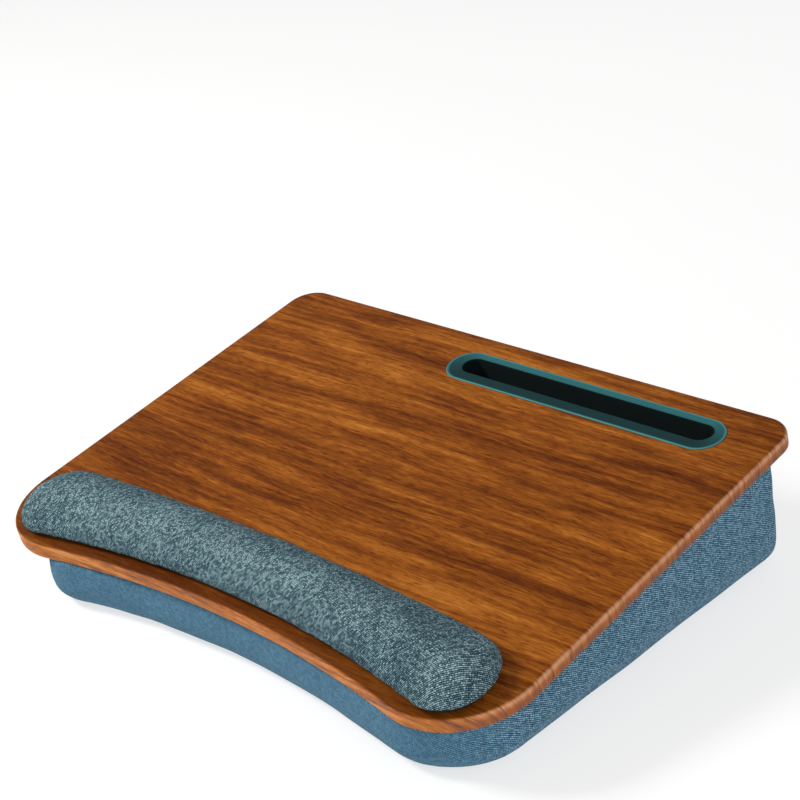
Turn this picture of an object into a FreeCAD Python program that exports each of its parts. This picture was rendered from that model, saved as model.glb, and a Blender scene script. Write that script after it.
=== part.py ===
# Wedge lap desk: a wood grain board on a foam cushion, with a padded wrist rest
# along the hollow front edge and a long phone slot near the rear edge.
# Millimetres. X runs to the user's right, Y away from the user, Z up.
# The origin is under the middle of the whole desk, on the surface it rests on.

import FreeCAD, Part
import math
import os

V = FreeCAD.Vector
Z_AXIS = V(0, 0, 1)

# Board: core, and the printed film pressed over its top and edges.
BOARD_WIDTH = 464.0
BOARD_DEPTH = 343.5
BOARD_THICKNESS = 9.8
BOARD_TILT_DEG = 9.7
BOARD_CENTRE_HEIGHT = 75.1
REAR_CORNER_RADIUS = 21.0
FRONT_CORNER_RADIUS = 57.0
FRONT_SCOOP_DEPTH = 17.5
BOARD_EDGE_ROUND = 1.2
LAMINATE_THICKNESS = 0.7
CORE_EDGE_BEVEL = 0.35

# Phone slot: a moulded liner dropped through the board from above.
SLOT_LENGTH = 240.0
SLOT_WIDTH = 35.0
SLOT_RIGHT_MARGIN = 35.9
SLOT_REAR_MARGIN = 19.7
LIP_WIDTH = 7.0
LIP_HEIGHT = 0.9
LIP_BEAD_WIDTH = 1.1
LIP_EDGE_BEVEL = 0.4
LIP_OVERLAP = 3.0
RAMP_DROP = 1.3
SHOULDER_DEPTH = 2.8
WELL_DEPTH = 18.0
WELL_FLOOR_BEVEL = 2.0
LINER_WALL = 1.6
LINER_GAP = 0.3
CATCH_LENGTH = 14.0
CATCH_HEIGHT = 4.0
CATCH_EDGE = 0.8
CATCH_BITE = 1.0
CATCH_GAP = 0.2
CATCH_PLACE_SHARES = (-0.32, 0.0, 0.32)

# Wrist rest: adhesive sheet, stiff base, foam and a sewn cover.
WRIST_LENGTH = 427.0
WRIST_DEPTH = 56.0
WRIST_HEIGHT = 23.0
WRIST_FRONT_MARGIN = 9.0
WRIST_FABRIC = 1.0
WRIST_BASE_THICKNESS = 2.5
ADHESIVE_THICKNESS = 0.5
ADHESIVE_MARGIN = 4.0
PAD_WIDEST_HEIGHT = 4.5
PAD_SHOULDER_RADIUS = 13.5
PAD_TUCK = 1.4

# Cushion: a foam wedge in a sewn cover with a separate grip panel below.
CUSHION_SIDE_MARGIN = 8.5
CUSHION_REAR_MARGIN = 4.0
CUSHION_FRONT_MARGIN = 1.5
CUSHION_REAR_CORNER = 19.0
CUSHION_FRONT_CORNER = 56.0
CUSHION_SCOOP_DEPTH = 18.0
CUSHION_BOTTOM_ROUND = 18.0
CUSHION_FABRIC = 1.0
DRAW_IN_START = 62.0
DRAW_IN_RUN = 56.0
DRAW_IN = 4.5
PANEL_SEAM_MARGIN = 3.0
PANEL_REAR_CORNER = 8.0
OUTER_ROUND_STEPS = 6
INNER_ROUND_STEPS = 2
POCKET_GAP = 1.4

# Hook and loop strips that hold the cushion to the underside of the board.
STRIP_LENGTH = 120.0
STRIP_WIDTH = 25.0
STRIP_THICKNESS = 1.2
STRIP_EDGE_MARGIN_X = 60.0
STRIP_EDGE_MARGIN_Y = 62.0

# Zip in the rear wall of the cushion cover.
ZIP_HEIGHT = 45.0
ZIP_SIDE_MARGIN = 51.5
TAPE_WIDTH = 8.0
COIL_GAP = 1.4
COIL_WIDTH = 2.2
COIL_THICKNESS = 1.8
COIL_EDGE_ROUND = 0.5
COIL_END_MARGIN = 9.5
STOP_LENGTH = 2.5
STOP_PROUD = 0.3
ZIP_CLEARANCE = 0.3
SLIDER_LENGTH = 11.0
SLIDER_PLATE = 1.1
SLIDER_FLANGE = 0.8
SLIDER_CORNER = 2.4
SLIDER_POST_LENGTH = 5.0
SLIDER_POST_WIDTH = 0.8
BAIL_LENGTH = 6.6
BAIL_WIDTH = 1.6
BAIL_WIRE = 0.9
BAIL_WINDOW_HEIGHT = 1.8
BAIL_ROUND = 0.8
PULL_PIN_RADIUS = 0.6
PULL_SIDE_GAP = 0.5
PULL_ARM_WIDTH = 1.6
PULL_ARM_LENGTH = 8.0
PULL_LENGTH = 26.0
PULL_THICKNESS = 1.1
PULL_TIP_ROUND = 2.4

# One overrun serves every cut, one small length tells whether places agree.
OVERRUN = 2.0
SAME_PLACE = 0.001
HALF_TURN_DEG = 180

TILT = math.radians(BOARD_TILT_DEG)
HALF_WIDTH = BOARD_WIDTH / 2
HALF_DEPTH = BOARD_DEPTH / 2


def scoop_arc(half_width, front_y, corner_radius, depth):
    """Centre height and radius of a hollow front, tangent to its corner arcs."""
    corner_x = half_width - corner_radius
    radius = (corner_x ** 2 + depth ** 2) / (2 * depth) - corner_radius
    return front_y + depth - radius, radius


SCOOP_CENTRE_Y, SCOOP_RADIUS = scoop_arc(
    HALF_WIDTH, -HALF_DEPTH, FRONT_CORNER_RADIUS, FRONT_SCOOP_DEPTH
)

# Slot centre line in the board's own plane.
SLOT_END_RADIUS = SLOT_WIDTH / 2
SLOT_RIGHT_X = HALF_WIDTH - SLOT_RIGHT_MARGIN - SLOT_END_RADIUS
SLOT_LEFT_X = HALF_WIDTH - SLOT_RIGHT_MARGIN - SLOT_LENGTH + SLOT_END_RADIUS
SLOT_Y = HALF_DEPTH - SLOT_REAR_MARGIN - SLOT_END_RADIUS

# The pad follows the front edge, so its path shares the hollow's centre.
PAD_PATH_RADIUS = SCOOP_RADIUS + WRIST_FRONT_MARGIN + WRIST_DEPTH / 2
PAD_TIP_ANGLE = math.asin(WRIST_LENGTH / 2 / PAD_PATH_RADIUS)
PAD_TURN = PAD_TIP_ANGLE - WRIST_DEPTH / 2 / PAD_PATH_RADIUS

# The pad's section: a crown arc, shoulder arcs that meet it smoothly, and
# sides that tuck in below the widest line.
PAD_RISE = WRIST_HEIGHT - ADHESIVE_THICKNESS - PAD_WIDEST_HEIGHT
PAD_SHOULDER_X = WRIST_DEPTH / 2 - PAD_SHOULDER_RADIUS
PAD_CROWN_RADIUS = (
    (PAD_SHOULDER_X ** 2 + PAD_RISE ** 2 - PAD_SHOULDER_RADIUS ** 2)
    / (2 * (PAD_RISE - PAD_SHOULDER_RADIUS))
)
PAD_CROWN_DROP = PAD_CROWN_RADIUS - PAD_RISE

# Cushion plan: the board's underside seen from above, less the margins.
UNDERSIDE_SHIFT = BOARD_THICKNESS * math.sin(TILT)
CUSHION_HALF_WIDTH = HALF_WIDTH - CUSHION_SIDE_MARGIN
CUSHION_REAR_Y = HALF_DEPTH * math.cos(TILT) + UNDERSIDE_SHIFT - CUSHION_REAR_MARGIN
CUSHION_FRONT_Y = UNDERSIDE_SHIFT + CUSHION_FRONT_MARGIN - HALF_DEPTH * math.cos(TILT)
CUSHION_SCOOP = scoop_arc(
    CUSHION_HALF_WIDTH, CUSHION_FRONT_Y, CUSHION_FRONT_CORNER, CUSHION_SCOOP_DEPTH
)

# The whole desk is moved so that its box is centred on the origin.
FRONT_REACH = (
    BOARD_EDGE_ROUND * (math.cos(TILT) + math.sin(TILT) - 1) - HALF_DEPTH * math.cos(TILT)
)
REAR_REACH = HALF_DEPTH * math.cos(TILT) + UNDERSIDE_SHIFT
CENTRE_SHIFT = -(FRONT_REACH + REAR_REACH) / 2

# Slider at rest, closed at the right hand stop.
ZIP_HALF_LENGTH = CUSHION_HALF_WIDTH - ZIP_SIDE_MARGIN
COIL_HALF_LENGTH = ZIP_HALF_LENGTH - COIL_END_MARGIN
SLIDER_REST_X = COIL_HALF_LENGTH - ZIP_CLEARANCE - SLIDER_LENGTH / 2
SLIDER_HALF_HEIGHT = COIL_GAP / 2 + COIL_WIDTH + ZIP_CLEARANCE + SLIDER_FLANGE
SLIDER_FACE_Y = CUSHION_REAR_Y + COIL_THICKNESS + ZIP_CLEARANCE + SLIDER_PLATE
PULL_PIN_Y = SLIDER_FACE_Y + BAIL_WINDOW_HEIGHT / 2


def box(low, high):
    """Box between two opposite corners."""
    size = high - low
    return Part.makeBox(size.x, size.y, size.z, low)


def prism(wire, height):
    """Solid that rises straight up from a flat closed wire."""
    return Part.Face(wire).extrude(Z_AXIS * height)


def fuse(shapes):
    """One solid from shapes that meet."""
    return shapes[0].multiFuse(shapes[1:]).removeSplitter()


def edges_at(shape, z):
    """Edges that lie wholly at one height."""
    return [
        edge for edge in shape.Edges
        if abs(edge.BoundBox.ZMin - z) < SAME_PLACE
        and abs(edge.BoundBox.ZMax - z) < SAME_PLACE
    ]


def round_at(shape, radius, z):
    """Round over every edge at one height."""
    return shape.makeFillet(radius, edges_at(shape, z))


def bevel_at(shape, size, z):
    """Bevel every edge at one height."""
    return shape.makeChamfer(size, edges_at(shape, z))


def arc(start, middle, end):
    """Arc edge through three points."""
    return Part.Arc(start, middle, end).toShape()


def polar(centre, radius, angle):
    """Point at a radius and an angle, level with its centre."""
    return centre + V(radius * math.cos(angle), radius * math.sin(angle), 0)


def on_board(shape):
    """Carry a shape from the board's own plane to its tilted place."""
    placed = shape.copy()
    placed.rotate(V(0, 0, 0), V(1, 0, 0), BOARD_TILT_DEG)
    placed.translate(Z_AXIS * BOARD_CENTRE_HEIGHT)
    return placed


def hollow_front_plan(half_width, rear_y, rear_radius, front_radius, scoop, inset, z):
    """Closed plan with straight rear and sides, round corners and a hollow front.

    scoop is the hollow's centre height and radius. The inset plan keeps every
    arc's centre, so it is parallel to the plain one.
    """
    scoop_y, scoop_radius = scoop
    reach = scoop_radius + front_radius
    corner_x = half_width - front_radius
    corner_y = scoop_y + math.sqrt(reach ** 2 - corner_x ** 2)
    rear = V(half_width - rear_radius, rear_y - rear_radius, z)
    front = V(corner_x, corner_y, z)
    hollow = V(0, scoop_y, z)
    toward_hollow = math.atan2(scoop_y - corner_y, -corner_x)
    rear_r = rear_radius - inset
    front_r = front_radius - inset

    right = [
        polar(rear, rear_r, math.pi / 2),
        polar(rear, rear_r, math.pi / 4),
        polar(rear, rear_r, 0),
        polar(front, front_r, 0),
        polar(front, front_r, toward_hollow / 2),
        polar(front, front_r, toward_hollow),
    ]
    left = [V(-point.x, point.y, z) for point in right]
    middle = polar(hollow, scoop_radius + inset, math.pi / 2)
    edges = [
        Part.makeLine(left[0], right[0]),
        arc(right[0], right[1], right[2]),
        Part.makeLine(right[2], right[3]),
        arc(right[3], right[4], right[5]),
        arc(right[5], middle, left[5]),
        arc(left[5], left[4], left[3]),
        Part.makeLine(left[3], left[2]),
        arc(left[2], left[1], left[0]),
    ]
    return Part.Wire(edges)


def board_plan(inset, z):
    """Outline of the board, in its own plane."""
    return hollow_front_plan(
        HALF_WIDTH, HALF_DEPTH, REAR_CORNER_RADIUS, FRONT_CORNER_RADIUS,
        (SCOOP_CENTRE_Y, SCOOP_RADIUS), inset, z,
    )


def cushion_plan(inset, z):
    """Outline of the cushion, level with the surface it rests on."""
    return hollow_front_plan(
        CUSHION_HALF_WIDTH, CUSHION_REAR_Y, CUSHION_REAR_CORNER, CUSHION_FRONT_CORNER,
        CUSHION_SCOOP, inset, z,
    )


def slot_plan(inset, z):
    """Round ended slot outline, shrunk by the inset, in the board's plane."""
    radius = SLOT_END_RADIUS - inset
    right = V(SLOT_RIGHT_X, SLOT_Y, z)
    left = V(SLOT_LEFT_X, SLOT_Y, z)
    up = V(0, radius, 0)
    edges = [
        Part.makeLine(left + up, right + up),
        arc(right + up, polar(right, radius, 0), right - up),
        Part.makeLine(right - up, left - up),
        arc(left - up, polar(left, radius, math.pi), left + up),
    ]
    return Part.Wire(edges)


def board_blank(inset):
    """Board without its slot, shrunk by the inset except at the underside."""
    return prism(board_plan(inset, -BOARD_THICKNESS), BOARD_THICKNESS - inset)


def core_blank():
    """Core without its slot, its top edge bevelled under the film's round."""
    return bevel_at(board_blank(LAMINATE_THICKNESS), CORE_EDGE_BEVEL, -LAMINATE_THICKNESS)


def slot_hole():
    """Opening through the board, hidden under the liner's lip."""
    depth = BOARD_THICKNESS + 2 * OVERRUN
    return prism(slot_plan(LIP_OVERLAP, -BOARD_THICKNESS - OVERRUN), depth)


def board_core():
    """Fibreboard core with the slot cut through it."""
    return on_board(core_blank().cut(slot_hole()))


def board_laminate():
    """Wood grain film over the top and down the edges of the core."""
    whole = round_at(board_blank(0), BOARD_EDGE_ROUND, 0)
    return on_board(whole.cut(core_blank()).cut(slot_hole()))


def liner_catch(x, side):
    """Sloped catch on the well wall that snaps under the board.

    side is 1 on the rear wall and -1 on the front wall.
    """
    wall = SLOT_Y + side * (SLOT_END_RADIUS - LIP_WIDTH)
    reach = wall + side * (LIP_WIDTH - LIP_OVERLAP + CATCH_BITE)
    top = -BOARD_THICKNESS - CATCH_GAP
    start = x - CATCH_LENGTH / 2
    corners = [
        V(start, wall, top),
        V(start, reach, top),
        V(start, reach, top - CATCH_EDGE),
        V(start, wall + side * LINER_WALL, top - CATCH_HEIGHT),
        V(start, wall, top - CATCH_HEIGHT),
    ]
    face = Part.Face(Part.makePolygon(corners + corners[:1]))
    return face.extrude(V(CATCH_LENGTH, 0, 0))


def slot_liner():
    """Moulded tray: beaded lip, sloped ramp, shoulder, deep well and catches."""
    lip = bevel_at(prism(slot_plan(0, 0), LIP_HEIGHT), LIP_EDGE_BEVEL, LIP_HEIGHT)
    shoulder = prism(slot_plan(LIP_OVERLAP + LINER_GAP, -SHOULDER_DEPTH), SHOULDER_DEPTH)
    well_bottom = -WELL_DEPTH - LINER_WALL
    well = prism(slot_plan(LIP_WIDTH - LINER_WALL, well_bottom), -well_bottom)
    catches = [
        liner_catch((SLOT_LEFT_X + SLOT_RIGHT_X) / 2 + share * SLOT_LENGTH, side)
        for share in CATCH_PLACE_SHARES
        for side in (-1, 1)
    ]
    mouth = slot_plan(LIP_BEAD_WIDTH, LIP_HEIGHT)
    throat = slot_plan(LIP_WIDTH, -RAMP_DROP)
    ramp = Part.makeLoft([throat, mouth], True, True)
    above = prism(slot_plan(LIP_BEAD_WIDTH, LIP_HEIGHT), OVERRUN)
    cavity = prism(slot_plan(LIP_WIDTH, -WELL_DEPTH), WELL_DEPTH - RAMP_DROP)
    cavity = bevel_at(cavity, WELL_FLOOR_BEVEL, -WELL_DEPTH)
    moulding = fuse([lip, shoulder, well] + catches)
    return on_board(moulding.cut(fuse([cavity, ramp, above])))


def pad_point(radius, angle, z):
    """Point on the pad's path, by its radius and its angle from the middle."""
    return V(radius * math.sin(angle), SCOOP_CENTRE_Y + radius * math.cos(angle), z)


def pad_half_section(inset):
    """Places across and up the pad: five round its arcs, then one at its base."""
    crown = PAD_CROWN_RADIUS - inset
    shoulder = PAD_SHOULDER_RADIUS - inset
    lean = math.atan2(PAD_SHOULDER_X, PAD_CROWN_DROP)
    places = [
        (crown * math.sin(turn), PAD_WIDEST_HEIGHT - PAD_CROWN_DROP + crown * math.cos(turn))
        for turn in (0, lean / 2, lean)
    ]
    places += [
        (PAD_SHOULDER_X + shoulder * math.sin(turn), PAD_WIDEST_HEIGHT + shoulder * math.cos(turn))
        for turn in ((lean + math.pi / 2) / 2, math.pi / 2)
    ]
    return places + [(WRIST_DEPTH / 2 - PAD_TUCK - inset, 0)]


def pad_points(angle, places):
    """Places across and up the pad carried to an angle along its path."""
    return [
        pad_point(PAD_PATH_RADIUS + across, angle, ADHESIVE_THICKNESS + up)
        for across, up in places
    ]


def line_chain(points):
    """Straight edges from point to point."""
    return [Part.makeLine(*points[k:k + 2]) for k in range(len(points) - 1)]


def arc_chain(points):
    """Arcs through each three points in turn."""
    return [arc(*points[k:k + 3]) for k in range(0, len(points) - 1, 2)]


def pad_body(inset, chain):
    """Whole pad above the adhesive: a curved bar with round ends.

    chain makes the edges over the pad's top from their points.
    """
    half = pad_half_section(inset)
    mirrored = [(-across, up) for across, up in reversed(half[1:])]
    over = pad_points(-PAD_TURN, mirrored + half)
    section = chain(over[1:-1]) + line_chain([over[-2], over[-1], over[0], over[1]])
    axis = V(0, SCOOP_CENTRE_Y, 0)
    pieces = [
        Part.Face(Part.Wire(section)).revolve(axis, Z_AXIS, -2 * math.degrees(PAD_TURN))
    ]
    for side in (-1, 1):
        points = pad_points(side * PAD_TURN, half)
        foot = V(points[0].x, points[0].y, points[-1].z)
        edges = chain(points[:-1]) + line_chain([points[-2], points[-1], foot, points[0]])
        cap = Part.Face(Part.Wire(edges)).revolve(foot, Z_AXIS, -side * HALF_TURN_DEG)
        pieces.append(cap)
    return fuse(pieces)


def base_layer():
    """Everything within the thickness of the pad's stiff base."""
    reach = V(BOARD_WIDTH, BOARD_DEPTH, 0)
    top = Z_AXIS * (ADHESIVE_THICKNESS + WRIST_BASE_THICKNESS)
    return box(-reach - Z_AXIS * OVERRUN, reach + top)


def adhesive_plan(inset):
    """Outline of the adhesive sheet: two parallel arcs with round ends."""
    half_depth = WRIST_DEPTH / 2 - PAD_TUCK - inset
    centre = pad_point(PAD_PATH_RADIUS, PAD_TURN, 0)
    rear_angle = math.pi / 2 - PAD_TURN
    right = [
        polar(centre, half_depth, rear_angle - step * math.pi / 4)
        for step in range(5)
    ]
    left = [V(-point.x, point.y, 0) for point in right]
    edges = [
        arc(left[0], pad_point(PAD_PATH_RADIUS + half_depth, 0, 0), right[0]),
        arc(right[0], right[1], right[2]),
        arc(right[2], right[3], right[4]),
        arc(right[4], pad_point(PAD_PATH_RADIUS - half_depth, 0, 0), left[4]),
        arc(left[4], left[3], left[2]),
        arc(left[2], left[1], left[0]),
    ]
    return Part.Wire(edges)


def wrist_rest_adhesive():
    """Double sided sheet that bonds the pad's base to the board."""
    return on_board(prism(adhesive_plan(ADHESIVE_MARGIN), ADHESIVE_THICKNESS))


def wrist_rest_base():
    """Stiff plate that the cover is wrapped over."""
    return on_board(pad_body(WRIST_FABRIC, line_chain).common(base_layer()))


def wrist_rest_foam():
    """Crowned foam on the stiff base."""
    return on_board(pad_body(WRIST_FABRIC, line_chain).cut(base_layer()))


def wrist_rest_cover():
    """Woven cover drawn over the foam and down to the board."""
    return on_board(pad_body(0, arc_chain).cut(pad_body(WRIST_FABRIC, line_chain)))


def strip_places():
    """Middles of the four strips, in the board's plane."""
    x = HALF_WIDTH - STRIP_EDGE_MARGIN_X - STRIP_LENGTH / 2
    y = HALF_DEPTH - STRIP_EDGE_MARGIN_Y - STRIP_WIDTH / 2
    return [V(side_x * x, side_y * y, 0) for side_x in (-1, 1) for side_y in (-1, 1)]


def strip_blocks(top, depth, grow):
    """One block for each strip, hanging from a height in the board's plane."""
    half = V(STRIP_LENGTH / 2 + grow, STRIP_WIDTH / 2 + grow, 0)
    return [
        box(place - half + Z_AXIS * (top - depth), place + half + Z_AXIS * top)
        for place in strip_places()
    ]


def hook_strips():
    """Hook tapes bonded to the underside of the board."""
    blocks = strip_blocks(-BOARD_THICKNESS, STRIP_THICKNESS, 0)
    return on_board(Part.makeCompound(blocks))


def loop_strips():
    """Loop tapes sewn to the top of the cushion cover."""
    blocks = strip_blocks(-BOARD_THICKNESS - STRIP_THICKNESS, STRIP_THICKNESS, 0)
    return on_board(Part.makeCompound(blocks))


def above_cushion(inset):
    """Everything above the cushion's sloping top, and the hollows let into it."""
    reach = V(BOARD_WIDTH, BOARD_DEPTH, 0)
    top = -BOARD_THICKNESS - inset
    sky = box(Z_AXIS * top - reach, reach + Z_AXIS * BOARD_DEPTH)
    pocket_floor = -WELL_DEPTH - LINER_WALL - POCKET_GAP - inset
    pocket = prism(slot_plan(-inset, pocket_floor), -pocket_floor)
    strips = strip_blocks(OVERRUN - BOARD_THICKNESS, OVERRUN + 2 * STRIP_THICKNESS + inset, inset)
    return on_board(fuse([sky, pocket] + strips))


def cushion_wedge(inset, round_steps):
    """Wedge with a stepped round along its lower edge and drawn in upper sides."""
    radius = CUSHION_BOTTOM_ROUND - inset
    sections = []
    for step in range(round_steps + 1):
        turn = step / round_steps * math.pi / 2
        in_by = CUSHION_BOTTOM_ROUND - radius * math.sin(turn)
        height = CUSHION_BOTTOM_ROUND - radius * math.cos(turn)
        sections.append(cushion_plan(in_by, height))
    sections.append(cushion_plan(inset, DRAW_IN_START))
    sections.append(cushion_plan(inset + DRAW_IN, DRAW_IN_START + DRAW_IN_RUN))
    return Part.makeLoft(sections, True, True).cut(above_cushion(inset))


def cushion_inside():
    """Hollow of the cover, which the foam fills."""
    return cushion_wedge(CUSHION_FABRIC, INNER_ROUND_STEPS)


def grip_panel_plan():
    """Outline of the panel let into the flat underside."""
    margin = CUSHION_BOTTOM_ROUND + PANEL_SEAM_MARGIN
    scoop_y, scoop_radius = CUSHION_SCOOP
    return hollow_front_plan(
        CUSHION_HALF_WIDTH - margin, CUSHION_REAR_Y - margin,
        PANEL_REAR_CORNER, CUSHION_FRONT_CORNER - margin,
        (scoop_y, scoop_radius + margin), 0, 0,
    )


def cushion_grip_panel():
    """Non slip panel sewn into the underside of the cover."""
    return prism(grip_panel_plan(), CUSHION_FABRIC)


def rear_block(half_length, low, high, inner, outer):
    """Block on the rear wall: a height band about the zip, and a depth band."""
    return box(
        V(-half_length, CUSHION_REAR_Y + inner, ZIP_HEIGHT + low),
        V(half_length, CUSHION_REAR_Y + outer, ZIP_HEIGHT + high),
    )


def cushion_cover():
    """Sewn cover, open at the underside panel and at the zip."""
    shell = cushion_wedge(0, OUTER_ROUND_STEPS).cut(cushion_inside())
    band = COIL_GAP / 2 + TAPE_WIDTH
    window = rear_block(ZIP_HALF_LENGTH, -band, band, -CUSHION_FABRIC - OVERRUN, OVERRUN)
    return shell.cut(cushion_grip_panel()).cut(window)


def cushion_foam():
    """Foam wedge, relieved behind the zip so that the slider runs free."""
    band = SLIDER_HALF_HEIGHT + ZIP_CLEARANCE
    depth = CUSHION_FABRIC + SLIDER_PLATE + 3 * ZIP_CLEARANCE
    relief = rear_block(ZIP_HALF_LENGTH, -band, band, -depth, OVERRUN)
    return cushion_inside().cut(relief)


def zip_tape(side):
    """Tape sewn to one edge of the opening. side is 1 above and -1 below."""
    low, high = sorted((side * COIL_GAP / 2, side * (COIL_GAP / 2 + TAPE_WIDTH)))
    return rear_block(ZIP_HALF_LENGTH, low, high, -CUSHION_FABRIC, 0)


def zip_coil(side):
    """Row of zip elements as one rounded bar on the outer face of its tape."""
    low, high = sorted((side * COIL_GAP / 2, side * (COIL_GAP / 2 + COIL_WIDTH)))
    bar = rear_block(COIL_HALF_LENGTH, low, high, 0, COIL_THICKNESS)
    outer = CUSHION_REAR_Y + COIL_THICKNESS
    rim = [
        edge for edge in bar.Edges
        if abs(edge.BoundBox.YMin - outer) < SAME_PLACE
        and edge.BoundBox.XLength > COIL_HALF_LENGTH
    ]
    return bar.makeFillet(COIL_EDGE_ROUND, rim)


def zip_end_stops():
    """Crimped stop across both rows at each end."""
    band = COIL_GAP / 2 + COIL_WIDTH
    proud = COIL_THICKNESS + STOP_PROUD
    whole = rear_block(COIL_HALF_LENGTH + STOP_LENGTH, -band, band, 0, proud)
    between = rear_block(COIL_HALF_LENGTH, -band, band, -OVERRUN, proud + OVERRUN)
    return whole.cut(between)


def rear_plate(half_length, half_height, corner, inner, outer):
    """Plate parallel to the rear wall with round corners, about the slider."""
    low = V(SLIDER_REST_X - half_length, inner, ZIP_HEIGHT - half_height)
    high = V(SLIDER_REST_X + half_length, outer, ZIP_HEIGHT + half_height)
    plate = box(low, high)
    upright = [edge for edge in plate.Edges if edge.BoundBox.YLength > (outer - inner) / 2]
    return plate.makeFillet(corner, upright)


def slider_bail():
    """Arch on the slider's face that the pull hangs in."""
    half = BAIL_LENGTH / 2
    top = SLIDER_FACE_Y + BAIL_WINDOW_HEIGHT + BAIL_WIRE
    low = V(SLIDER_REST_X - half, SLIDER_FACE_Y, ZIP_HEIGHT - BAIL_WIDTH / 2)
    high = V(SLIDER_REST_X + half, top, ZIP_HEIGHT + BAIL_WIDTH / 2)
    arch = box(low, high)
    crown = [
        edge for edge in arch.Edges
        if edge.BoundBox.ZLength > BAIL_WIDTH / 2
        and abs(edge.BoundBox.YMin - top) < SAME_PLACE
    ]
    arch = arch.makeFillet(BAIL_ROUND, crown)
    window_low = V(SLIDER_REST_X - half + BAIL_WIRE, SLIDER_FACE_Y, low.z - OVERRUN)
    window_high = V(SLIDER_REST_X + half - BAIL_WIRE, top - BAIL_WIRE, high.z + OVERRUN)
    return arch.cut(box(window_low, window_high))


def zip_slider():
    """Slider: outer and inner plates, side flanges, post and bail."""
    half_length = SLIDER_LENGTH / 2
    outer_inner = SLIDER_FACE_Y - SLIDER_PLATE
    tape_back = CUSHION_REAR_Y - CUSHION_FABRIC
    back_outer = tape_back - ZIP_CLEARANCE
    back_inner = back_outer - SLIDER_PLATE
    skirt = CUSHION_REAR_Y + ZIP_CLEARANCE
    body = rear_plate(half_length, SLIDER_HALF_HEIGHT, SLIDER_CORNER, skirt, SLIDER_FACE_Y)
    channel_half = SLIDER_HALF_HEIGHT - SLIDER_FLANGE
    channel = box(
        V(SLIDER_REST_X - SLIDER_LENGTH, skirt - OVERRUN, ZIP_HEIGHT - channel_half),
        V(SLIDER_REST_X + SLIDER_LENGTH, outer_inner, ZIP_HEIGHT + channel_half),
    )
    back = rear_plate(half_length, channel_half, SLIDER_CORNER, back_inner, back_outer)
    post = box(
        V(SLIDER_REST_X - SLIDER_POST_LENGTH / 2, back_outer, ZIP_HEIGHT - SLIDER_POST_WIDTH / 2),
        V(SLIDER_REST_X + SLIDER_POST_LENGTH / 2, outer_inner, ZIP_HEIGHT + SLIDER_POST_WIDTH / 2),
    )
    return fuse([body.cut(channel), back, post, slider_bail()])


def zip_pull():
    """Pull tab: a pin in the bail, two arms and a rounded paddle."""
    arm_inner = BAIL_WIDTH / 2 + PULL_SIDE_GAP
    half_width = arm_inner + PULL_ARM_WIDTH
    pin_low = V(SLIDER_REST_X, PULL_PIN_Y, ZIP_HEIGHT - half_width)
    pin = Part.makeCylinder(PULL_PIN_RADIUS, 2 * half_width, pin_low, Z_AXIS)
    low = V(SLIDER_REST_X - PULL_LENGTH, PULL_PIN_Y - PULL_THICKNESS / 2, ZIP_HEIGHT - half_width)
    high = V(SLIDER_REST_X, PULL_PIN_Y + PULL_THICKNESS / 2, ZIP_HEIGHT + half_width)
    tab = box(low, high)
    tip = [
        edge for edge in tab.Edges
        if edge.BoundBox.YLength > PULL_THICKNESS / 2
        and abs(edge.BoundBox.XMin - low.x) < SAME_PLACE
    ]
    tab = tab.makeFillet(PULL_TIP_ROUND, tip)
    eye = box(
        V(SLIDER_REST_X - PULL_ARM_LENGTH, low.y - OVERRUN, ZIP_HEIGHT - arm_inner),
        V(SLIDER_REST_X + OVERRUN, high.y + OVERRUN, ZIP_HEIGHT + arm_inner),
    )
    return fuse([tab.cut(eye), pin])


PARTS = {
    "board_core": board_core,
    "board_laminate": board_laminate,
    "slot_liner": slot_liner,
    "wrist_rest_adhesive": wrist_rest_adhesive,
    "wrist_rest_base": wrist_rest_base,
    "wrist_rest_foam": wrist_rest_foam,
    "wrist_rest_cover": wrist_rest_cover,
    "hook_strips": hook_strips,
    "loop_strips": loop_strips,
    "cushion_cover": cushion_cover,
    "cushion_foam": cushion_foam,
    "cushion_grip_panel": cushion_grip_panel,
    "zip_tape_upper": lambda: zip_tape(1),
    "zip_tape_lower": lambda: zip_tape(-1),
    "zip_coil_upper": lambda: zip_coil(1),
    "zip_coil_lower": lambda: zip_coil(-1),
    "zip_end_stops": zip_end_stops,
    "zip_slider": zip_slider,
    "zip_pull": zip_pull,
}


def main():
    os.makedirs("parts", exist_ok=True)
    for name, make in PARTS.items():
        shape = make()
        shape.translate(V(0, CENTRE_SHIFT, 0))
        shape.exportStep(f"parts/{name}.step")
        print(name, len(shape.Solids), "solids", round(shape.Volume), "mm3", shape.isValid())


main()
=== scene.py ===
# %% [markdown]
# # A wedge lap desk in wood grain film, teal plastic and woven cloth
# The rigid frame of the desk comes from a packed CAD model. This lesson gives it
# the surfaces that a person would see: the printed wood, the moulded slot,
# the padded wrist rest, the sewn cushion and its zip. Every new shape is worked
# out with numpy as a function of two parameters, and every finish is a small
# tree of shader nodes written as ordinary sums.

# %% Load the frame
import math

import bpy
import numpy as np
from mathutils import Matrix, Vector
from mathutils.geometry import tessellate_polygon


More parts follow.
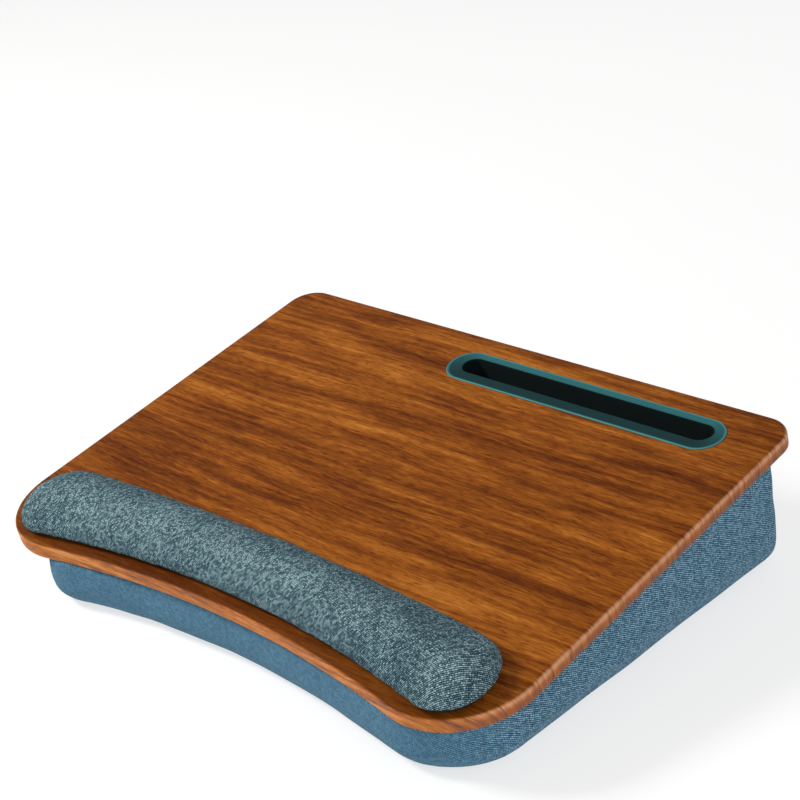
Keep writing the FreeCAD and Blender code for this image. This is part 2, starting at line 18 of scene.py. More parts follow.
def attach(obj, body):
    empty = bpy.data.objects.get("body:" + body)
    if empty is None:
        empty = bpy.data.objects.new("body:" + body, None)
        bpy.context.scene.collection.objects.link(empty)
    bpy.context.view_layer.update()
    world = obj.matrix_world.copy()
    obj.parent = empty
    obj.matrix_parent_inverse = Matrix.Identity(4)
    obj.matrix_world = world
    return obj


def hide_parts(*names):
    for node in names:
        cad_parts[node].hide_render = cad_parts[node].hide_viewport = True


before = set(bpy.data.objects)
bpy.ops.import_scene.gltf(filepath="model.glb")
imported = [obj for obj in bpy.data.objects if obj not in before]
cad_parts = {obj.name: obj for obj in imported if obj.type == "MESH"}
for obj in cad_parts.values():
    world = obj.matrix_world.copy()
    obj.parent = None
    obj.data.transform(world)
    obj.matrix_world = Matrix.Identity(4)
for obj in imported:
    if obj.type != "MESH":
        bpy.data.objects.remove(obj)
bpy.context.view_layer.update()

# %% [markdown]
# ## The sizes that the looks need
# The board is tilted on its cushion, so it is easiest to draw it lying flat in its
# own plane and to carry each finished point to its place. Every size is in metres.

# %% Sizes
MM = 0.001
BOARD = {"half_width": 232.0 * MM, "rear": 171.75 * MM, "rear_corner": 21.0 * MM,
         "front_corner": 57.0 * MM, "hollow": 17.5 * MM, "front": -171.75 * MM}
BOARD_THICKNESS = 9.8 * MM
BOARD_EDGE = 1.2 * MM
FILM = 0.7 * MM
TILT = math.radians(9.7)
BOARD_LIFT = 75.1 * MM

# The desk is moved along Y so that its box is centred on the origin.
UNDERSIDE_SHIFT = BOARD_THICKNESS * math.sin(TILT)
FRONT_REACH = BOARD["front"] * math.cos(TILT) + BOARD_EDGE * (math.cos(TILT) + math.sin(TILT) - 1)
REAR_REACH = BOARD["rear"] * math.cos(TILT) + UNDERSIDE_SHIFT
SHIFT_Y = -(FRONT_REACH + REAR_REACH) / 2


def to_desk(points):
    """Turn points from the board's plane by the tilt about X, then lift and shift them."""
    x, y, z = np.moveaxis(np.asarray(points, float), -1, 0)
    c, s = math.cos(TILT), math.sin(TILT)
    return np.stack([x, y * c - z * s + SHIFT_Y, y * s + z * c + BOARD_LIFT], -1)


print("board middle on the desk:", to_desk([0, 0, 0]).round(4))

# %% [markdown]
# ## Outlines with a hollow front
# The board and the cushion share one kind of outline: straight back and sides,
# round corners and a shallow hollow where the user sits. It could be traced by
# hand, but every piece of it is an arc or a line, so a formula gives the points
# and also the outward direction at each point. With both, any parallel outline is
# one subtraction: point minus inset times direction.

# %% Outline helper


def hollow_arc(half_width, front, corner, hollow):
    """Height of the hollow's centre and its radius, so that it meets the corner arcs smoothly."""
    side = half_width - corner
    radius = (side ** 2 + hollow ** 2) / (2 * hollow) - corner
    return front + hollow - radius, radius


def turned(centre, radius, angles, sign=1):
    """Points on an arc and their directions; sign -1 turns the directions inwards."""
    direction = np.stack([np.cos(angles), np.sin(angles)], -1)
    return np.asarray(centre) + radius * direction, sign * direction


def line_between(start, end, count, direction):
    """Points on a straight edge, all with the same direction."""
    share = np.linspace(0, 1, count, endpoint=False)[:, None]
    points = np.asarray(start) * (1 - share) + np.asarray(end) * share
    return points, np.tile(direction, (count, 1))


def hollow_front_outline(half_width, rear, rear_corner, front_corner, hollow, front, step=0.003):
    """Closed outline, anticlockwise from the middle of the hollow, with its outward directions.

    The right half is hollow, corner, side, corner and half the back; the left half mirrors it.
    """
    hollow_y, hollow_r = hollow_arc(half_width, front, front_corner, hollow)
    corner_x = half_width - front_corner
    corner_y = hollow_y + math.sqrt((hollow_r + front_corner) ** 2 - corner_x ** 2)
    lean = math.atan2(corner_x, corner_y - hollow_y)
    pieces = [
        turned((0, hollow_y), hollow_r, math.pi / 2 - np.linspace(
            0, lean, int(hollow_r * lean / step), endpoint=False), -1),
        turned((corner_x, corner_y), front_corner,
               np.linspace(-math.pi / 2 - lean, 0, 40, endpoint=False)),
        line_between((half_width, corner_y), (half_width, rear - rear_corner),
                     int((rear - rear_corner - corner_y) / step), (1, 0)),
        turned((half_width - rear_corner, rear - rear_corner), rear_corner,
               np.linspace(0, math.pi / 2, 20, endpoint=False)),
        line_between((half_width - rear_corner, rear), (0, rear), int(half_width / step), (0, 1)),
    ]
    right = np.concatenate([p for p, _ in pieces])
    facing = np.concatenate([d for _, d in pieces])
    middle = np.array([[0, rear]])
    mirror = np.array([-1, 1])
    points = np.concatenate([right, middle, right[:0:-1] * mirror])
    directions = np.concatenate([facing, [[0, 1]], facing[:0:-1] * mirror])
    return points, directions


board_points, board_out = hollow_front_outline(**BOARD)
print("board outline:", len(board_points), "points")

# %% [markdown]
# ## From arrays to meshes
# A surface is kept as a grid of points, rows by columns. One helper turns such a
# grid into quads in a single step and closes it on itself where the shape is a ring;
# the first or last row can then be capped with one more flat face.

# %% Mesh helper


def make_piece(name, verts, faces, smooth=True):
    """New object from an array of points and a list of faces."""
    mesh = bpy.data.meshes.new(name)
    mesh.from_pydata(np.asarray(verts).reshape(-1, 3).tolist(), [], faces)
    mesh.update()
    mesh.polygons.foreach_set("use_smooth", [smooth] * len(mesh.polygons))
    obj = bpy.data.objects.new(name, mesh)
    bpy.context.scene.collection.objects.link(obj)
    return obj


def ring_faces(rows, columns, start=0, flip=False):
    """Quads of a grid whose columns close on themselves."""
    index = np.arange(rows * columns).reshape(rows, columns) + start
    a, b = index[:-1], np.roll(index, -1, 1)[:-1]
    c, d = np.roll(index, -1, 1)[1:], index[1:]
    quads = np.stack([a, b, c, d], -1).reshape(-1, 4)
    return (quads[:, ::-1] if flip else quads).tolist()


def band(outline, directions, insets, heights):
    """Grid of rows: each row is the outline moved in by an inset, at a height."""
    insets, heights = np.asarray(insets, float), np.asarray(heights, float)
    flat = outline[None] - insets[:, None, None] * directions[None]
    level = np.broadcast_to(heights[:, None, None], flat.shape[:2] + (1,))
    return np.concatenate([flat, level], -1)


def crisp(obj, degrees=32):
    """Keep edges sharper than an angle as creases, so that flats stay flat in the light."""
    obj.data.set_sharp_from_angle(angle=math.radians(degrees))


def keep_pattern(obj, name, values):
    """Store one vector per point, for a finish to read."""
    attribute = obj.data.attributes.new(name, "FLOAT_VECTOR", "POINT")
    attribute.data.foreach_set("vector", np.asarray(values, np.float32).ravel())


def flat_sheet(outer, hole):
    """Triangles between an outer loop and a hole loop; numbers run on from outer to hole."""
    loops = [[Vector((x, y, 0)) for x, y in loop] for loop in (outer, hole)]
    return [list(t) for t in tessellate_polygon(loops)]


print("quads of two rings of four points:", len(ring_faces(2, 4)))

# %% [markdown]
# ## Sums that become shader nodes
# A finish is mostly arithmetic on a few textures. Instead of wiring nodes by hand,
# a small class stands for one socket, and plus, minus, times and so on add the
# Math node that does it.

# %% Signal helper


class Signal:
    """One output socket of a finish, which can be used in sums."""

    def __init__(self, finish, socket):
        self.finish, self.socket = finish, socket

    def _sum(self, operation, *others):
        feeds = dict(enumerate((self, *others)))
        return self.finish.add("ShaderNodeMath", {"operation": operation}, feeds)

    def __add__(self, other): return self._sum("ADD", other)
    def __radd__(self, other): return self._sum("ADD", other)
    def __mul__(self, other): return self._sum("MULTIPLY", other)
    def __rmul__(self, other): return self._sum("MULTIPLY", other)
    def __sub__(self, other): return self._sum("SUBTRACT", other)
    def __rsub__(self, other): return (self * -1)._sum("ADD", other)
    def __truediv__(self, other): return self._sum("DIVIDE", other)
    def __pow__(self, other): return self._sum("POWER", other)

    def wave(self): return self._sum("SINE")
    def whole(self): return self._sum("FLOOR")
    def part(self): return self._sum("FRACT")
    def size(self): return self._sum("ABSOLUTE")

    def between(self, low, high, bottom=0.0, top=1.0):
        """Smooth step from bottom to top as this goes from low to high."""
        return self.finish.add("ShaderNodeMapRange", {"interpolation_type": "SMOOTHSTEP"},
                               {0: self, 1: low, 2: high, 3: bottom, 4: top})


print("a signal can:", ", ".join(name for name in vars(Signal) if not name.startswith("__")))

# %% [markdown]
# ## One class for all finishes
# Plastic, wood and cloth need the same few things: where a point lies, a noise there,
# colours mixed by it, and a bump. Each is one method, and all of them go through a
# single one that takes a node's type, its settings and what feeds it.

# %% Finish helper


class Finish:
    """A material and the few ways of adding nodes to it."""

    def __init__(self, name, **constants):
        self.material = bpy.data.materials.new(name)
        self.material.use_nodes = True
        self.tree = self.material.node_tree
        self.surface = self.tree.nodes["Principled BSDF"]
        for socket, value in constants.items():
            self.surface.inputs[socket.replace("_", " ")].default_value = value

    def add(self, kind, settings=(), feeds=(), output=0):
        """Add a node: settings first, then numbers or links on its inputs."""
        node = self.tree.nodes.new(kind)
        for key, value in dict(settings).items():
            if key == "stops":
                ramp = node.color_ramp
                while len(ramp.elements) < len(value):
                    ramp.elements.new(1.0)
                for element, (place, colour) in zip(ramp.elements, value):
                    element.position, element.color = place, (*colour, 1.0)
            else:
                setattr(node, key, value)
        for key, value in dict(feeds).items():
            if isinstance(value, Signal):
                self.tree.links.new(value.socket, node.inputs[key])
            else:
                node.inputs[key].default_value = value
        return Signal(self, node.outputs[output])

    def pattern(self, name):
        """The three numbers stored on the piece under a name."""
        node = self.tree.nodes.new("ShaderNodeAttribute")
        node.attribute_name = name
        return self.split(Signal(self, node.outputs["Vector"]))

    def place(self):
        """Object coordinates, as three numbers."""
        node = self.tree.nodes.new("ShaderNodeTexCoord")
        return self.split(Signal(self, node.outputs["Object"]))

    def split(self, vector):
        node = self.tree.nodes.new("ShaderNodeSeparateXYZ")
        self.tree.links.new(vector.socket, node.inputs[0])
        return [Signal(self, out) for out in node.outputs]

    def join(self, x, y, z=0.0):
        return self.add("ShaderNodeCombineXYZ", {}, {0: x, 1: y, 2: z})

    def cloud(self, vector, scale=1.0, detail=2.0, roughness=0.5, distortion=0.0):
        """Soft noise, about 0 to 1."""
        return self.add("ShaderNodeTexNoise", {}, {
            "Vector": vector, "Scale": scale, "Detail": detail, "Roughness": roughness,
            "Distortion": distortion})

    def speck(self, vector):
        """One random number for each whole place."""
        return self.add("ShaderNodeTexWhiteNoise", {"noise_dimensions": "3D"}, {"Vector": vector})

    def ramp(self, value, stops):
        return self.add("ShaderNodeValToRGB", {"stops": stops}, {0: value})

    def mix(self, share, first, second, blend="MIX"):
        """Colours blended by a share."""
        colours = [c if isinstance(c, Signal) else (*c, 1.0) for c in (first, second)]
        return self.add("ShaderNodeMix", {"data_type": "RGBA", "blend_type": blend},
                        {0: share, 6: colours[0], 7: colours[1]}, output=2)

    def bump(self, height, distance, strength=1.0):
        feeds = {"Height": height, "Distance": distance, "Strength": strength}
        normal = self.add("ShaderNodeBump", {}, feeds)
        self.tree.links.new(normal.socket, self.surface.inputs["Normal"])

    def feed(self, socket, value):
        self.tree.links.new(value.socket, self.surface.inputs[socket])


def dress(obj, finish):
    """Give a piece or a CAD node one finish."""
    obj.data.materials.clear()
    obj.data.materials.append(finish.material)


print("a finish can:", ", ".join(name for name in vars(Finish) if not name.startswith("_")))

# %% [markdown]
# ## The board's printed film
# Real boards of this kind are fibreboard with a printed wood film pressed over the
# top and round the edge. The film is one sheet, so its grain runs over the front
# edge as long streaks and over the side edge as short cross lines. A bevel could
# round the edge, but rows that are worked out can also remember where each point
# lay on the sheet before it was wrapped, which is what the printed grain follows.
# The edge is tight at the hollow front and rounder at the sides and the back.

# %% Board film
SIDE_ROUND = 1.5 * MM
FLAT_INSET = 17.0 * MM
STRIP_INSET = 12.0 * MM
HOLE_INSET = 2.0 * MM
SLOT = {"left": -26.4 * MM, "right": 178.6 * MM, "y": 134.55 * MM, "radius": 17.5 * MM}


def stadium(left, right, y, radius, inset=0.0, count=48):
    """Outline with half round ends, anticlockwise from its lower right, and its directions."""
    half = np.linspace(-math.pi / 2, math.pi / 2, count)
    right_end, right_out = turned((right, y), radius, half)
    left_end, left_out = turned((left, y), radius, half + math.pi)
    points = np.concatenate([right_end, left_end])
    out = np.concatenate([right_out, left_out])
    return points - inset * out, out


def side_round(out):
    """Radius of the film's top edge: the board's own at the hollow front, growing to the sides."""
    return BOARD_EDGE + SIDE_ROUND * np.clip(0.75 + out[:, 1], 0, 1) ** 0.7


def board_film():
    """Rows from the flat top outwards: flat, quarter round, side and lower lip.

    Each row is the outline less an inset, at a height, and its place on the unwrapped
    sheet is the outline plus the reach, the length of film from the outline to the row.
    The pattern's third number tells the rows apart: -1 to 0 on the strip behind the
    front edge, 0 to 1 over the round and 1 to 2 down the side.
    """
    radius = side_round(board_out)[None]
    turn = np.linspace(0, math.pi / 2, 8)[:, None]
    side = np.array([0.25, 0.5, 0.75, 1.0])[:, None] * (BOARD_THICKNESS - radius)
    nil = np.zeros_like(radius)
    insets = np.concatenate([nil + FLAT_INSET, nil + STRIP_INSET, radius * (1 - np.sin(turn)),
                             side * 0, nil + FILM])
    heights = np.concatenate([nil, nil, radius * (np.cos(turn) - 1), -radius - side, nil - BOARD_THICKNESS])
    reach = np.concatenate([nil - FLAT_INSET, nil - STRIP_INSET, radius * (turn - 1),
                            radius * (math.pi / 2 - 1) + side, radius * (math.pi / 2 - 1) + side[-1:]])
    front = np.clip(-board_out[:, 1], 0, 1)[None]
    edge = np.concatenate([nil, -front, -front, turn[1:] / turn[-1] + nil, 1 + side / side[-1], nil + 2])
    flat = board_points[None] - insets[..., None] * board_out[None]
    grid = np.concatenate([flat, heights[..., None]], -1)
    sheet = board_points[None] + reach[..., None] * board_out[None]
    pattern = np.concatenate([sheet, edge[..., None]], -1)
    rows, columns = grid.shape[:2]
    hole = stadium(**SLOT, inset=HOLE_INSET)[0]
    hole_flat = np.c_[hole, np.zeros(len(hole))]
    verts = np.concatenate([grid.reshape(-1, 3), hole_flat])
    pattern = np.concatenate([pattern.reshape(-1, 3), hole_flat])
    faces = ring_faces(rows, columns, flip=True)
    for tri in flat_sheet(grid[0, :, :2], hole):
        faces.append([i if i < columns else rows * columns + i - columns for i in tri])
    film = make_piece("board_film", to_desk(verts), faces)
    keep_pattern(film, "sheet", pattern)
    return film


film = board_film()
print("film:", len(film.data.polygons), "faces")

# %% [markdown]
# ## Walnut print
# Walnut is read from its streaks: broad bands of darker and lighter wood that run
# the length of the board, finer lines inside them, and short dark pores. Each is a
# noise stretched along the grain, and a slow noise bends them all so that no line
# is ruler straight. A wood picture could be laid on instead, but a tree of noises
# has no seams and no end. The round edge is pressed thinner and looks lighter. At the
# ends the round top edge gets a painted highlight, with painted shade lower down the
# side, and painted shade darkens the strip behind the front edge.

# %% Walnut finish


def walnut():
    """Tone is the sum of four stretched noises, sent through a ramp of wood colours; pores go over it."""
    f = Finish("walnut_film", Specular_IOR_Level=0.07)
    u, v, edge = f.pattern("sheet")
    bend = f.cloud(f.join(u * 3.2, v * 7.0), detail=2.0) - 0.5
    ruffle = f.cloud(f.join(u * 30.0, v * 60.0, 2.0), detail=2.0) - 0.5
    across = v + bend * 0.022 + ruffle * 0.0030
    bands = f.join(u * 3.0, across * 42.0, 3.0)
    broad = f.cloud(bands, detail=3.0, roughness=0.55, distortion=0.25) - 0.5
    lines = f.cloud(f.join(u * 9.0, across * 210.0, 7.0), detail=4.0, roughness=0.65) - 0.5
    hair = f.cloud(f.join(u * 90.0, across * 800.0, 1.0), detail=2.0, roughness=0.6) - 0.5
    patch = f.cloud(f.join(u * 20.0, across * 90.0, 5.0), detail=3.0, distortion=0.5) - 0.5
    tone = 0.50 + broad * 0.76 + lines * 0.82 + patch * 0.40 + hair * 0.50
    wood = f.ramp(tone, [
        (0.16, (0.055, 0.0085, 0.0006)),
        (0.36, (0.125, 0.0270, 0.0016)),
        (0.50, (0.210, 0.0540, 0.0036)),
        (0.64, (0.315, 0.0930, 0.0090)),
        (0.84, (0.480, 0.1700, 0.0240)),
    ])
    pore = f.cloud(f.join(u * 110.0, across * 1000.0, 4.0), detail=2.0) - 0.5
    wood = f.mix(pore.between(0.07, 0.20) * 0.62, wood, (0.030, 0.006, 0.0006))
    # Painted shade: the strip behind the front edge, in front of the pad, is darkened.
    wood = f.mix(edge.between(0.0, -1.0) * 0.62, wood, (0.070, 0.0150, 0.0006))
    ends = u.size().between(0.205, 0.228)
    streaks = (lines * 2.2 + hair * 1.3 + patch * 0.5) * (1 - ends * 0.6)
    # Painted shade: at the ends the side band darkens lower down, below the painted highlight.
    cross = 0.5 + streaks - ends * edge.between(0.9, 1.7) * 0.26
    rim = f.ramp(cross, [
        (0.10, (0.150, 0.0700, 0.0560)),
        (0.40, (0.370, 0.1150, 0.0290)),
        (0.62, (0.500, 0.1700, 0.0380)),
        (0.90, (0.640, 0.2600, 0.0850)),
    ])
    wood = f.mix(edge.between(0.30, 0.80) * 0.94, wood, rim)
    # Painted highlight: a pale pink band along the round top edge at the ends.
    painted_highlight = edge.between(0.15, 0.60) * edge.between(1.5, 0.80) * ends
    wood = f.mix(painted_highlight * cross.between(0.25, 0.60) * 0.55, wood, (0.700, 0.400, 0.260))
    f.feed("Base Color", wood)
    f.feed("Roughness", 0.46 + hair * 0.2)
    f.bump(lines * 0.4 + hair * 0.6, 0.00012, 0.6)
    return f


WALNUT = walnut()
dress(film, WALNUT)
crisp(film, 50)
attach(film, "desk")
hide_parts("board_laminate")
print("walnut nodes:", len(WALNUT.tree.nodes))

# %% [markdown]
# ## Slot liner
# A plastic moulding is dropped through the board, to stand small things in. It is
# a thin bead, a shallow ramp and a deep well. The well lies nearer the back than
# the bead does, so the ramp is twice as wide in front. Two round ended outlines
# with the same count of points describe that: the ramp is a blend of the two.

# %% Liner shape
WELL = {"left": -24.4 * MM, "right": 176.6 * MM, "y": 137.55 * MM, "radius": 9.6 * MM}
# Inset from the well's rim and height in millimetres, from the floor up to the rim.
WELL_SIDE = np.array([(4.0, -18.0), (2.8, -17.8), (1.8, -17.0), (1.4, -15.8), (0.9, -7.0),
                      (0.6, -2.4), (0.35, -1.0), (0.15, -0.62), (0.0, -0.45)]) * MM
# Inset from the bead's outline and height, from the ramp's top over the bead and down outside.
LIP_SIDE = np.array([(0.95, 0.46), (0.7, 0.66), (0.5, 0.76), (0.28, 0.75), (0.08, 0.6), (0.0, 0.4),
                     (0.0, 0.02), (3.3, 0.0), (3.3, -2.8), (4.2, -2.8), (4.2, -18.0), (5.4, -19.4),
                     (7.6, -19.6)]) * MM
BEAD_CREST = np.array([0, -0.6, -1, -1, -0.8, -0.2])


def slot_liner():
    """Well rows, ramp rows and bead rows; flat caps close the well's floor inside and out.

    The pattern's first number is -1 on the bead's crest, 0 to 1 down the ramp and more in
    the well; the second goes from 0 at the back to 1 in front.
    """
    outline, out = stadium(**SLOT)
    rim, rim_out = stadium(**WELL)
    well = band(rim, rim_out, *WELL_SIDE.T)
    lip = band(outline, out, *LIP_SIDE.T)
    share = np.array([0.8, 0.6, 0.4, 0.2])[:, None, None]
    ramp = well[-1] * share + lip[0] * (1 - share)
    grid = np.concatenate([well, ramp, lip])
    rows, columns = grid.shape[:2]
    faces = ring_faces(rows, columns)
    faces.append(list(range(columns)))
    faces.append(list(range((rows - 1) * columns, rows * columns))[::-1])
    moulding = make_piece("slot_moulding", to_desk(grid), faces)
    step = np.concatenate([1 - (WELL_SIDE[:, 1] - WELL_SIDE[-1, 1]) / MM, share.ravel(),
                           BEAD_CREST, np.zeros(len(LIP_SIDE) - len(BEAD_CREST))])
    facing = (1 - out[:, 1]) / 2
    pattern = np.stack(np.broadcast_arrays(step[:, None], facing[None], 0.0), -1)
    keep_pattern(moulding, "depth", pattern)
    crisp(moulding)
    return moulding


liner = slot_liner()
print("liner:", len(liner.data.vertices), "points")

# %% [markdown]
# ## Moulded plastic
# Satin plastic has a very fine grain from the mould and slightly uneven gloss, so
# gloss and bump vary by two noises. The liner's ramp faces away from the light in
# front and its well takes in hardly any, which the colour follows: it sinks down
# the ramp, most of all in front, and goes nearly black below the rim.

# %% Teal plastic
BEAD_GLINT = (0.130, 0.400, 0.390)


def moulded_plastic(name, colour, gloss, grain=900.0, relief=0.00004, shine=0.5, dark=None):
    """One colour with a fine grain; dark, for the liner, gives the steps over which painted shade takes it
    to black.
    """
    f = Finish(name, Base_Color=(*colour, 1.0), Specular_IOR_Level=shine)
    x, y, z = f.place()
    fine = f.cloud(f.join(x * grain, y * grain, z * grain), detail=2.0)
    slow = f.cloud(f.join(x * 60.0, y * 60.0, z * 60.0), detail=2.0)
    rough = gloss + (fine - 0.5) * 0.12 + (slow - 0.5) * 0.10
    if dark:
        depth, front, _ = f.pattern("depth")
        # Painted shade: the ramp darkens, most of all in front, and the well goes nearly black below the
        # rim.
        painted_ramp_shade = depth.between(0.0, 0.15) * (0.34 + front ** 0.6 * 0.50)
        shade = painted_ramp_shade + depth.between(*dark) * (1 - painted_ramp_shade)
        body = f.mix(shade, colour, [c * 0.03 for c in colour])
        # Painted highlight: the bead's crest in front is mixed towards a pale teal.
        f.feed("Base Color", f.mix(depth.between(-0.3, -1.0) * front * 0.5, body, BEAD_GLINT))
        rough = rough + shade * 0.45
    f.feed("Roughness", rough)
    f.bump(fine, relief, 0.6)
    return f


TEAL_PLASTIC = moulded_plastic("teal_moulding", (0.026, 0.165, 0.180), 0.48, shine=0.16,
                               dark=(1.05, 1.8))
dress(liner, TEAL_PLASTIC)
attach(liner, "desk")
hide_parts("slot_liner")
print("plastic nodes:", len(TEAL_PLASTIC.tree.nodes))

# %% [markdown]
# ## Wrist rest
# The pad is a curved bar of foam under a stretched woven cover. It follows the
# board's hollow front at an even margin, so its two long sides are arcs about the
# same centre, and half circles close its ends.

# %% Wrist rest outline
PAD_HALF = 28.0 * MM
PAD_BASE = 0.5 * MM
PAD_WIDEST = 4.5 * MM
PAD_RISE = 18.0 * MM
PAD_SHOULDER = 13.5 * MM
PAD_TUCK = 1.4 * MM
PAD_MARGIN = 9.0 * MM
PAD_LENGTH = 427.0 * MM
PAD_SLACK = 0.9 * MM
WELD = 0.05 * MM
HOLLOW_Y, HOLLOW_R = hollow_arc(BOARD["half_width"], BOARD["front"], BOARD["front_corner"],
                                BOARD["hollow"])
PAD_PATH = HOLLOW_R + PAD_MARGIN + PAD_HALF
PAD_TURN = math.asin(PAD_LENGTH / 2 / PAD_PATH) - PAD_HALF / PAD_PATH


def pad_outline(step=0.0025):
    """Outline of the curved bar, anticlockwise, with its outward directions."""
    count = int(2 * PAD_PATH * PAD_TURN / step)
    sweep = np.linspace(-PAD_TURN, PAD_TURN, count)
    ends = np.linspace(0, math.pi, 36)[1:-1]
    centre = np.array([0, HOLLOW_Y])
    along = np.stack([np.sin(sweep), np.cos(sweep)], -1)
    front, front_out = centre + (PAD_PATH - PAD_HALF) * along, -along
    rear, rear_out = centre + (PAD_PATH + PAD_HALF) * along[::-1], along[::-1]
    right = centre + PAD_PATH * along[-1]
    left = centre + PAD_PATH * along[0]
    right_cap, right_out = turned(right, PAD_HALF, -math.pi / 2 - PAD_TURN + ends)
    left_cap, left_out = turned(left, PAD_HALF, math.pi / 2 + PAD_TURN + ends)
    return (np.concatenate([front, right_cap, rear, left_cap]),
            np.concatenate([front_out, right_out, rear_out, left_out]))


print("pad outline:", len(pad_outline()[0]), "points")

# %% [markdown]
# ## The pad's section
# Its section is a flat crown, two rounder shoulders and sides that tuck in at the
# bottom, all without a corner between them. A beveled curve could carry it along,
# but its round ends would not close. Here the outline moves inwards while it climbs
# the section, which gives the whole top, and the two sides meet along the spine.

# %% Wrist rest shape


def pad_section(steps=12):
    """Inset from the outline and height: tucked side, shoulder arc, crown arc."""
    shoulder_x = PAD_HALF - PAD_SHOULDER
    crown = (shoulder_x ** 2 + PAD_RISE ** 2 - PAD_SHOULDER ** 2) / (2 * (PAD_RISE - PAD_SHOULDER))
    drop = crown - PAD_RISE
    lean = math.atan2(shoulder_x, drop)
    side = np.linspace(0, 1, 4, endpoint=False)
    inset_side = PAD_TUCK * (1 - side) ** 2
    height_side = PAD_WIDEST * side
    turn = np.linspace(math.pi / 2, lean, steps, endpoint=False)
    inset_shoulder = PAD_HALF - (shoulder_x + PAD_SHOULDER * np.sin(turn))
    height_shoulder = PAD_WIDEST + PAD_SHOULDER * np.cos(turn)
    turn = np.linspace(lean, 0, steps)
    inset_crown = PAD_HALF - crown * np.sin(turn)
    height_crown = PAD_WIDEST - drop + crown * np.cos(turn)
    return (np.concatenate([inset_side, inset_shoulder, inset_crown]),
            np.concatenate([height_side, height_shoulder, height_crown]) + PAD_BASE)


def wrist_rest():
    """Rows of the outline climbing the section; the last row is the spine, where both sides meet."""
    outline, out = pad_outline()
    inset, height = pad_section()
    slack = PAD_SLACK * np.clip((PAD_HALF - inset) / PAD_HALF, 0, 1) * np.clip(height / PAD_WIDEST, 0, 1)
    grid = band(outline, out, inset + slack, height - slack * 0.5)
    rows, columns = grid.shape[:2]
    faces = ring_faces(rows, columns)
    faces.append(list(range(columns))[::-1])
    return make_piece("wrist_rest", grid, faces)


wrist = wrist_rest()
print("wrist rest:", len(wrist.data.vertices), "points")

# %% [markdown]
# ## Moving the points of a soft piece
# A soft piece is still changed after it is built. Its points are read as one array,
# moved by numpy and written back. No cloth is quite even, so a smooth random field
# gives it low waves: it is a sum of sine waves in random directions, each piece with
# a seed of its own, so that the result is the same at every run.

# %% Soft helper


def soft_noise(points, size, seed):
    """Smooth random field, about -1 to 1: a sum of waves of one size in random directions."""
    rng = np.random.default_rng(seed)
    total = np.zeros(len(points))
    for _ in range(9):
        way = rng.normal(size=3)
        way *= rng.uniform(0.7, 1.4) / np.linalg.norm(way)
        total += np.sin(points @ way * 2 * math.pi / size + rng.uniform(0, 2 * math.pi))
    return total / 3.0


def vertices_of(obj):
    """Every point of a piece, one per row."""
    co = np.zeros(len(obj.data.vertices) * 3)
    obj.data.vertices.foreach_get("co", co)
    return co.reshape(-1, 3)


def set_vertices(obj, points):
    obj.data.vertices.foreach_set("co", np.asarray(points).ravel())
    obj.data.update()


def normals_of(obj):
    """Outward direction at every point of a piece."""
    normals = np.zeros(len(obj.data.vertices) * 3)
    obj.data.vertex_normals.foreach_get("vector", normals)
    return normals.reshape(-1, 3)


print("points of the pad, from its lowest:", (vertices_of(wrist).min(0) / MM).round(1), "mm")

# %% [markdown]
# ## Making cloth look filled
# Padded fabric gets its character from the push of the foam against the seams.
# The mesh is remeshed into even squares, then Blender's Cloth blows it up a little
# with pressure, while the points near the seam are held. Movement is capped so the
# pad keeps its measured size, and one subdivision smooths the result.

# %% Cloth helper


def merge_close(obj, distance):
    """Weld points that lie on each other and point all faces outwards."""
    import bmesh
    mesh = bmesh.new()
    mesh.from_mesh(obj.data)
    bmesh.ops.remove_doubles(mesh, verts=mesh.verts, dist=distance)
    bmesh.ops.dissolve_degenerate(mesh, edges=mesh.edges, dist=distance)
    bmesh.ops.recalc_face_normals(mesh, faces=mesh.faces)
    mesh.to_mesh(obj.data)
    mesh.free()
    obj.data.update()


def settle(obj):
    """Apply every modifier on a piece, so that its mesh is final."""
    graph = bpy.context.evaluated_depsgraph_get()
    mesh = bpy.data.meshes.new_from_object(obj.evaluated_get(graph), depsgraph=graph)
    obj.modifiers.clear()
    obj.data = mesh
    mesh.polygons.foreach_set("use_smooth", [True] * len(mesh.polygons))
    mesh.update()


def remesh(obj, voxel):
    """Build the skin again from even squares of one size."""
    modifier = obj.modifiers.new("even", "REMESH")
    modifier.mode, modifier.voxel_size = "VOXEL", voxel
    settle(obj)


def fill_out(obj, held, pressure, cap, stiffness=12.0, frames=20):
    """Blow the cloth up with the held points pinned; no point moves further than the cap."""
    before = vertices_of(obj)
    group = obj.vertex_groups.new(name="held")
    group.add(np.flatnonzero(held(before)).tolist(), 1.0, "REPLACE")
    cloth = obj.modifiers.new("cloth", "CLOTH")
    cloth.settings.quality = 6
    cloth.settings.mass = 0.3
    cloth.settings.tension_stiffness = stiffness
    cloth.settings.compression_stiffness = stiffness
    cloth.settings.shear_stiffness = stiffness / 2
    cloth.settings.bending_stiffness = 0.4
    cloth.settings.vertex_group_mass = "held"
    cloth.settings.use_pressure = True
    cloth.settings.uniform_pressure_force = pressure
    cloth.settings.effector_weights.gravity = 0.0
    cloth.point_cache.frame_start, cloth.point_cache.frame_end = 1, frames
    for step in range(1, frames + 1):
        bpy.context.scene.frame_set(step)
    settle(obj)
    bpy.context.scene.frame_set(1)
    move = vertices_of(obj) - before
    far = np.linalg.norm(move, axis=1, keepdims=True)
    move *= cap * np.tanh(far / cap) / np.maximum(far, 1e-9)
    set_vertices(obj, before + move)
    obj.vertex_groups.clear()
    print(obj.name, "filled out by at most", round(float(np.linalg.norm(move, axis=1).max() / MM), 2))


def smoother(obj, levels=1):
    """Halve every edge and round the result."""
    modifier = obj.modifiers.new("smooth", "SUBSURF")
    modifier.levels = modifier.render_levels = levels
    settle(obj)


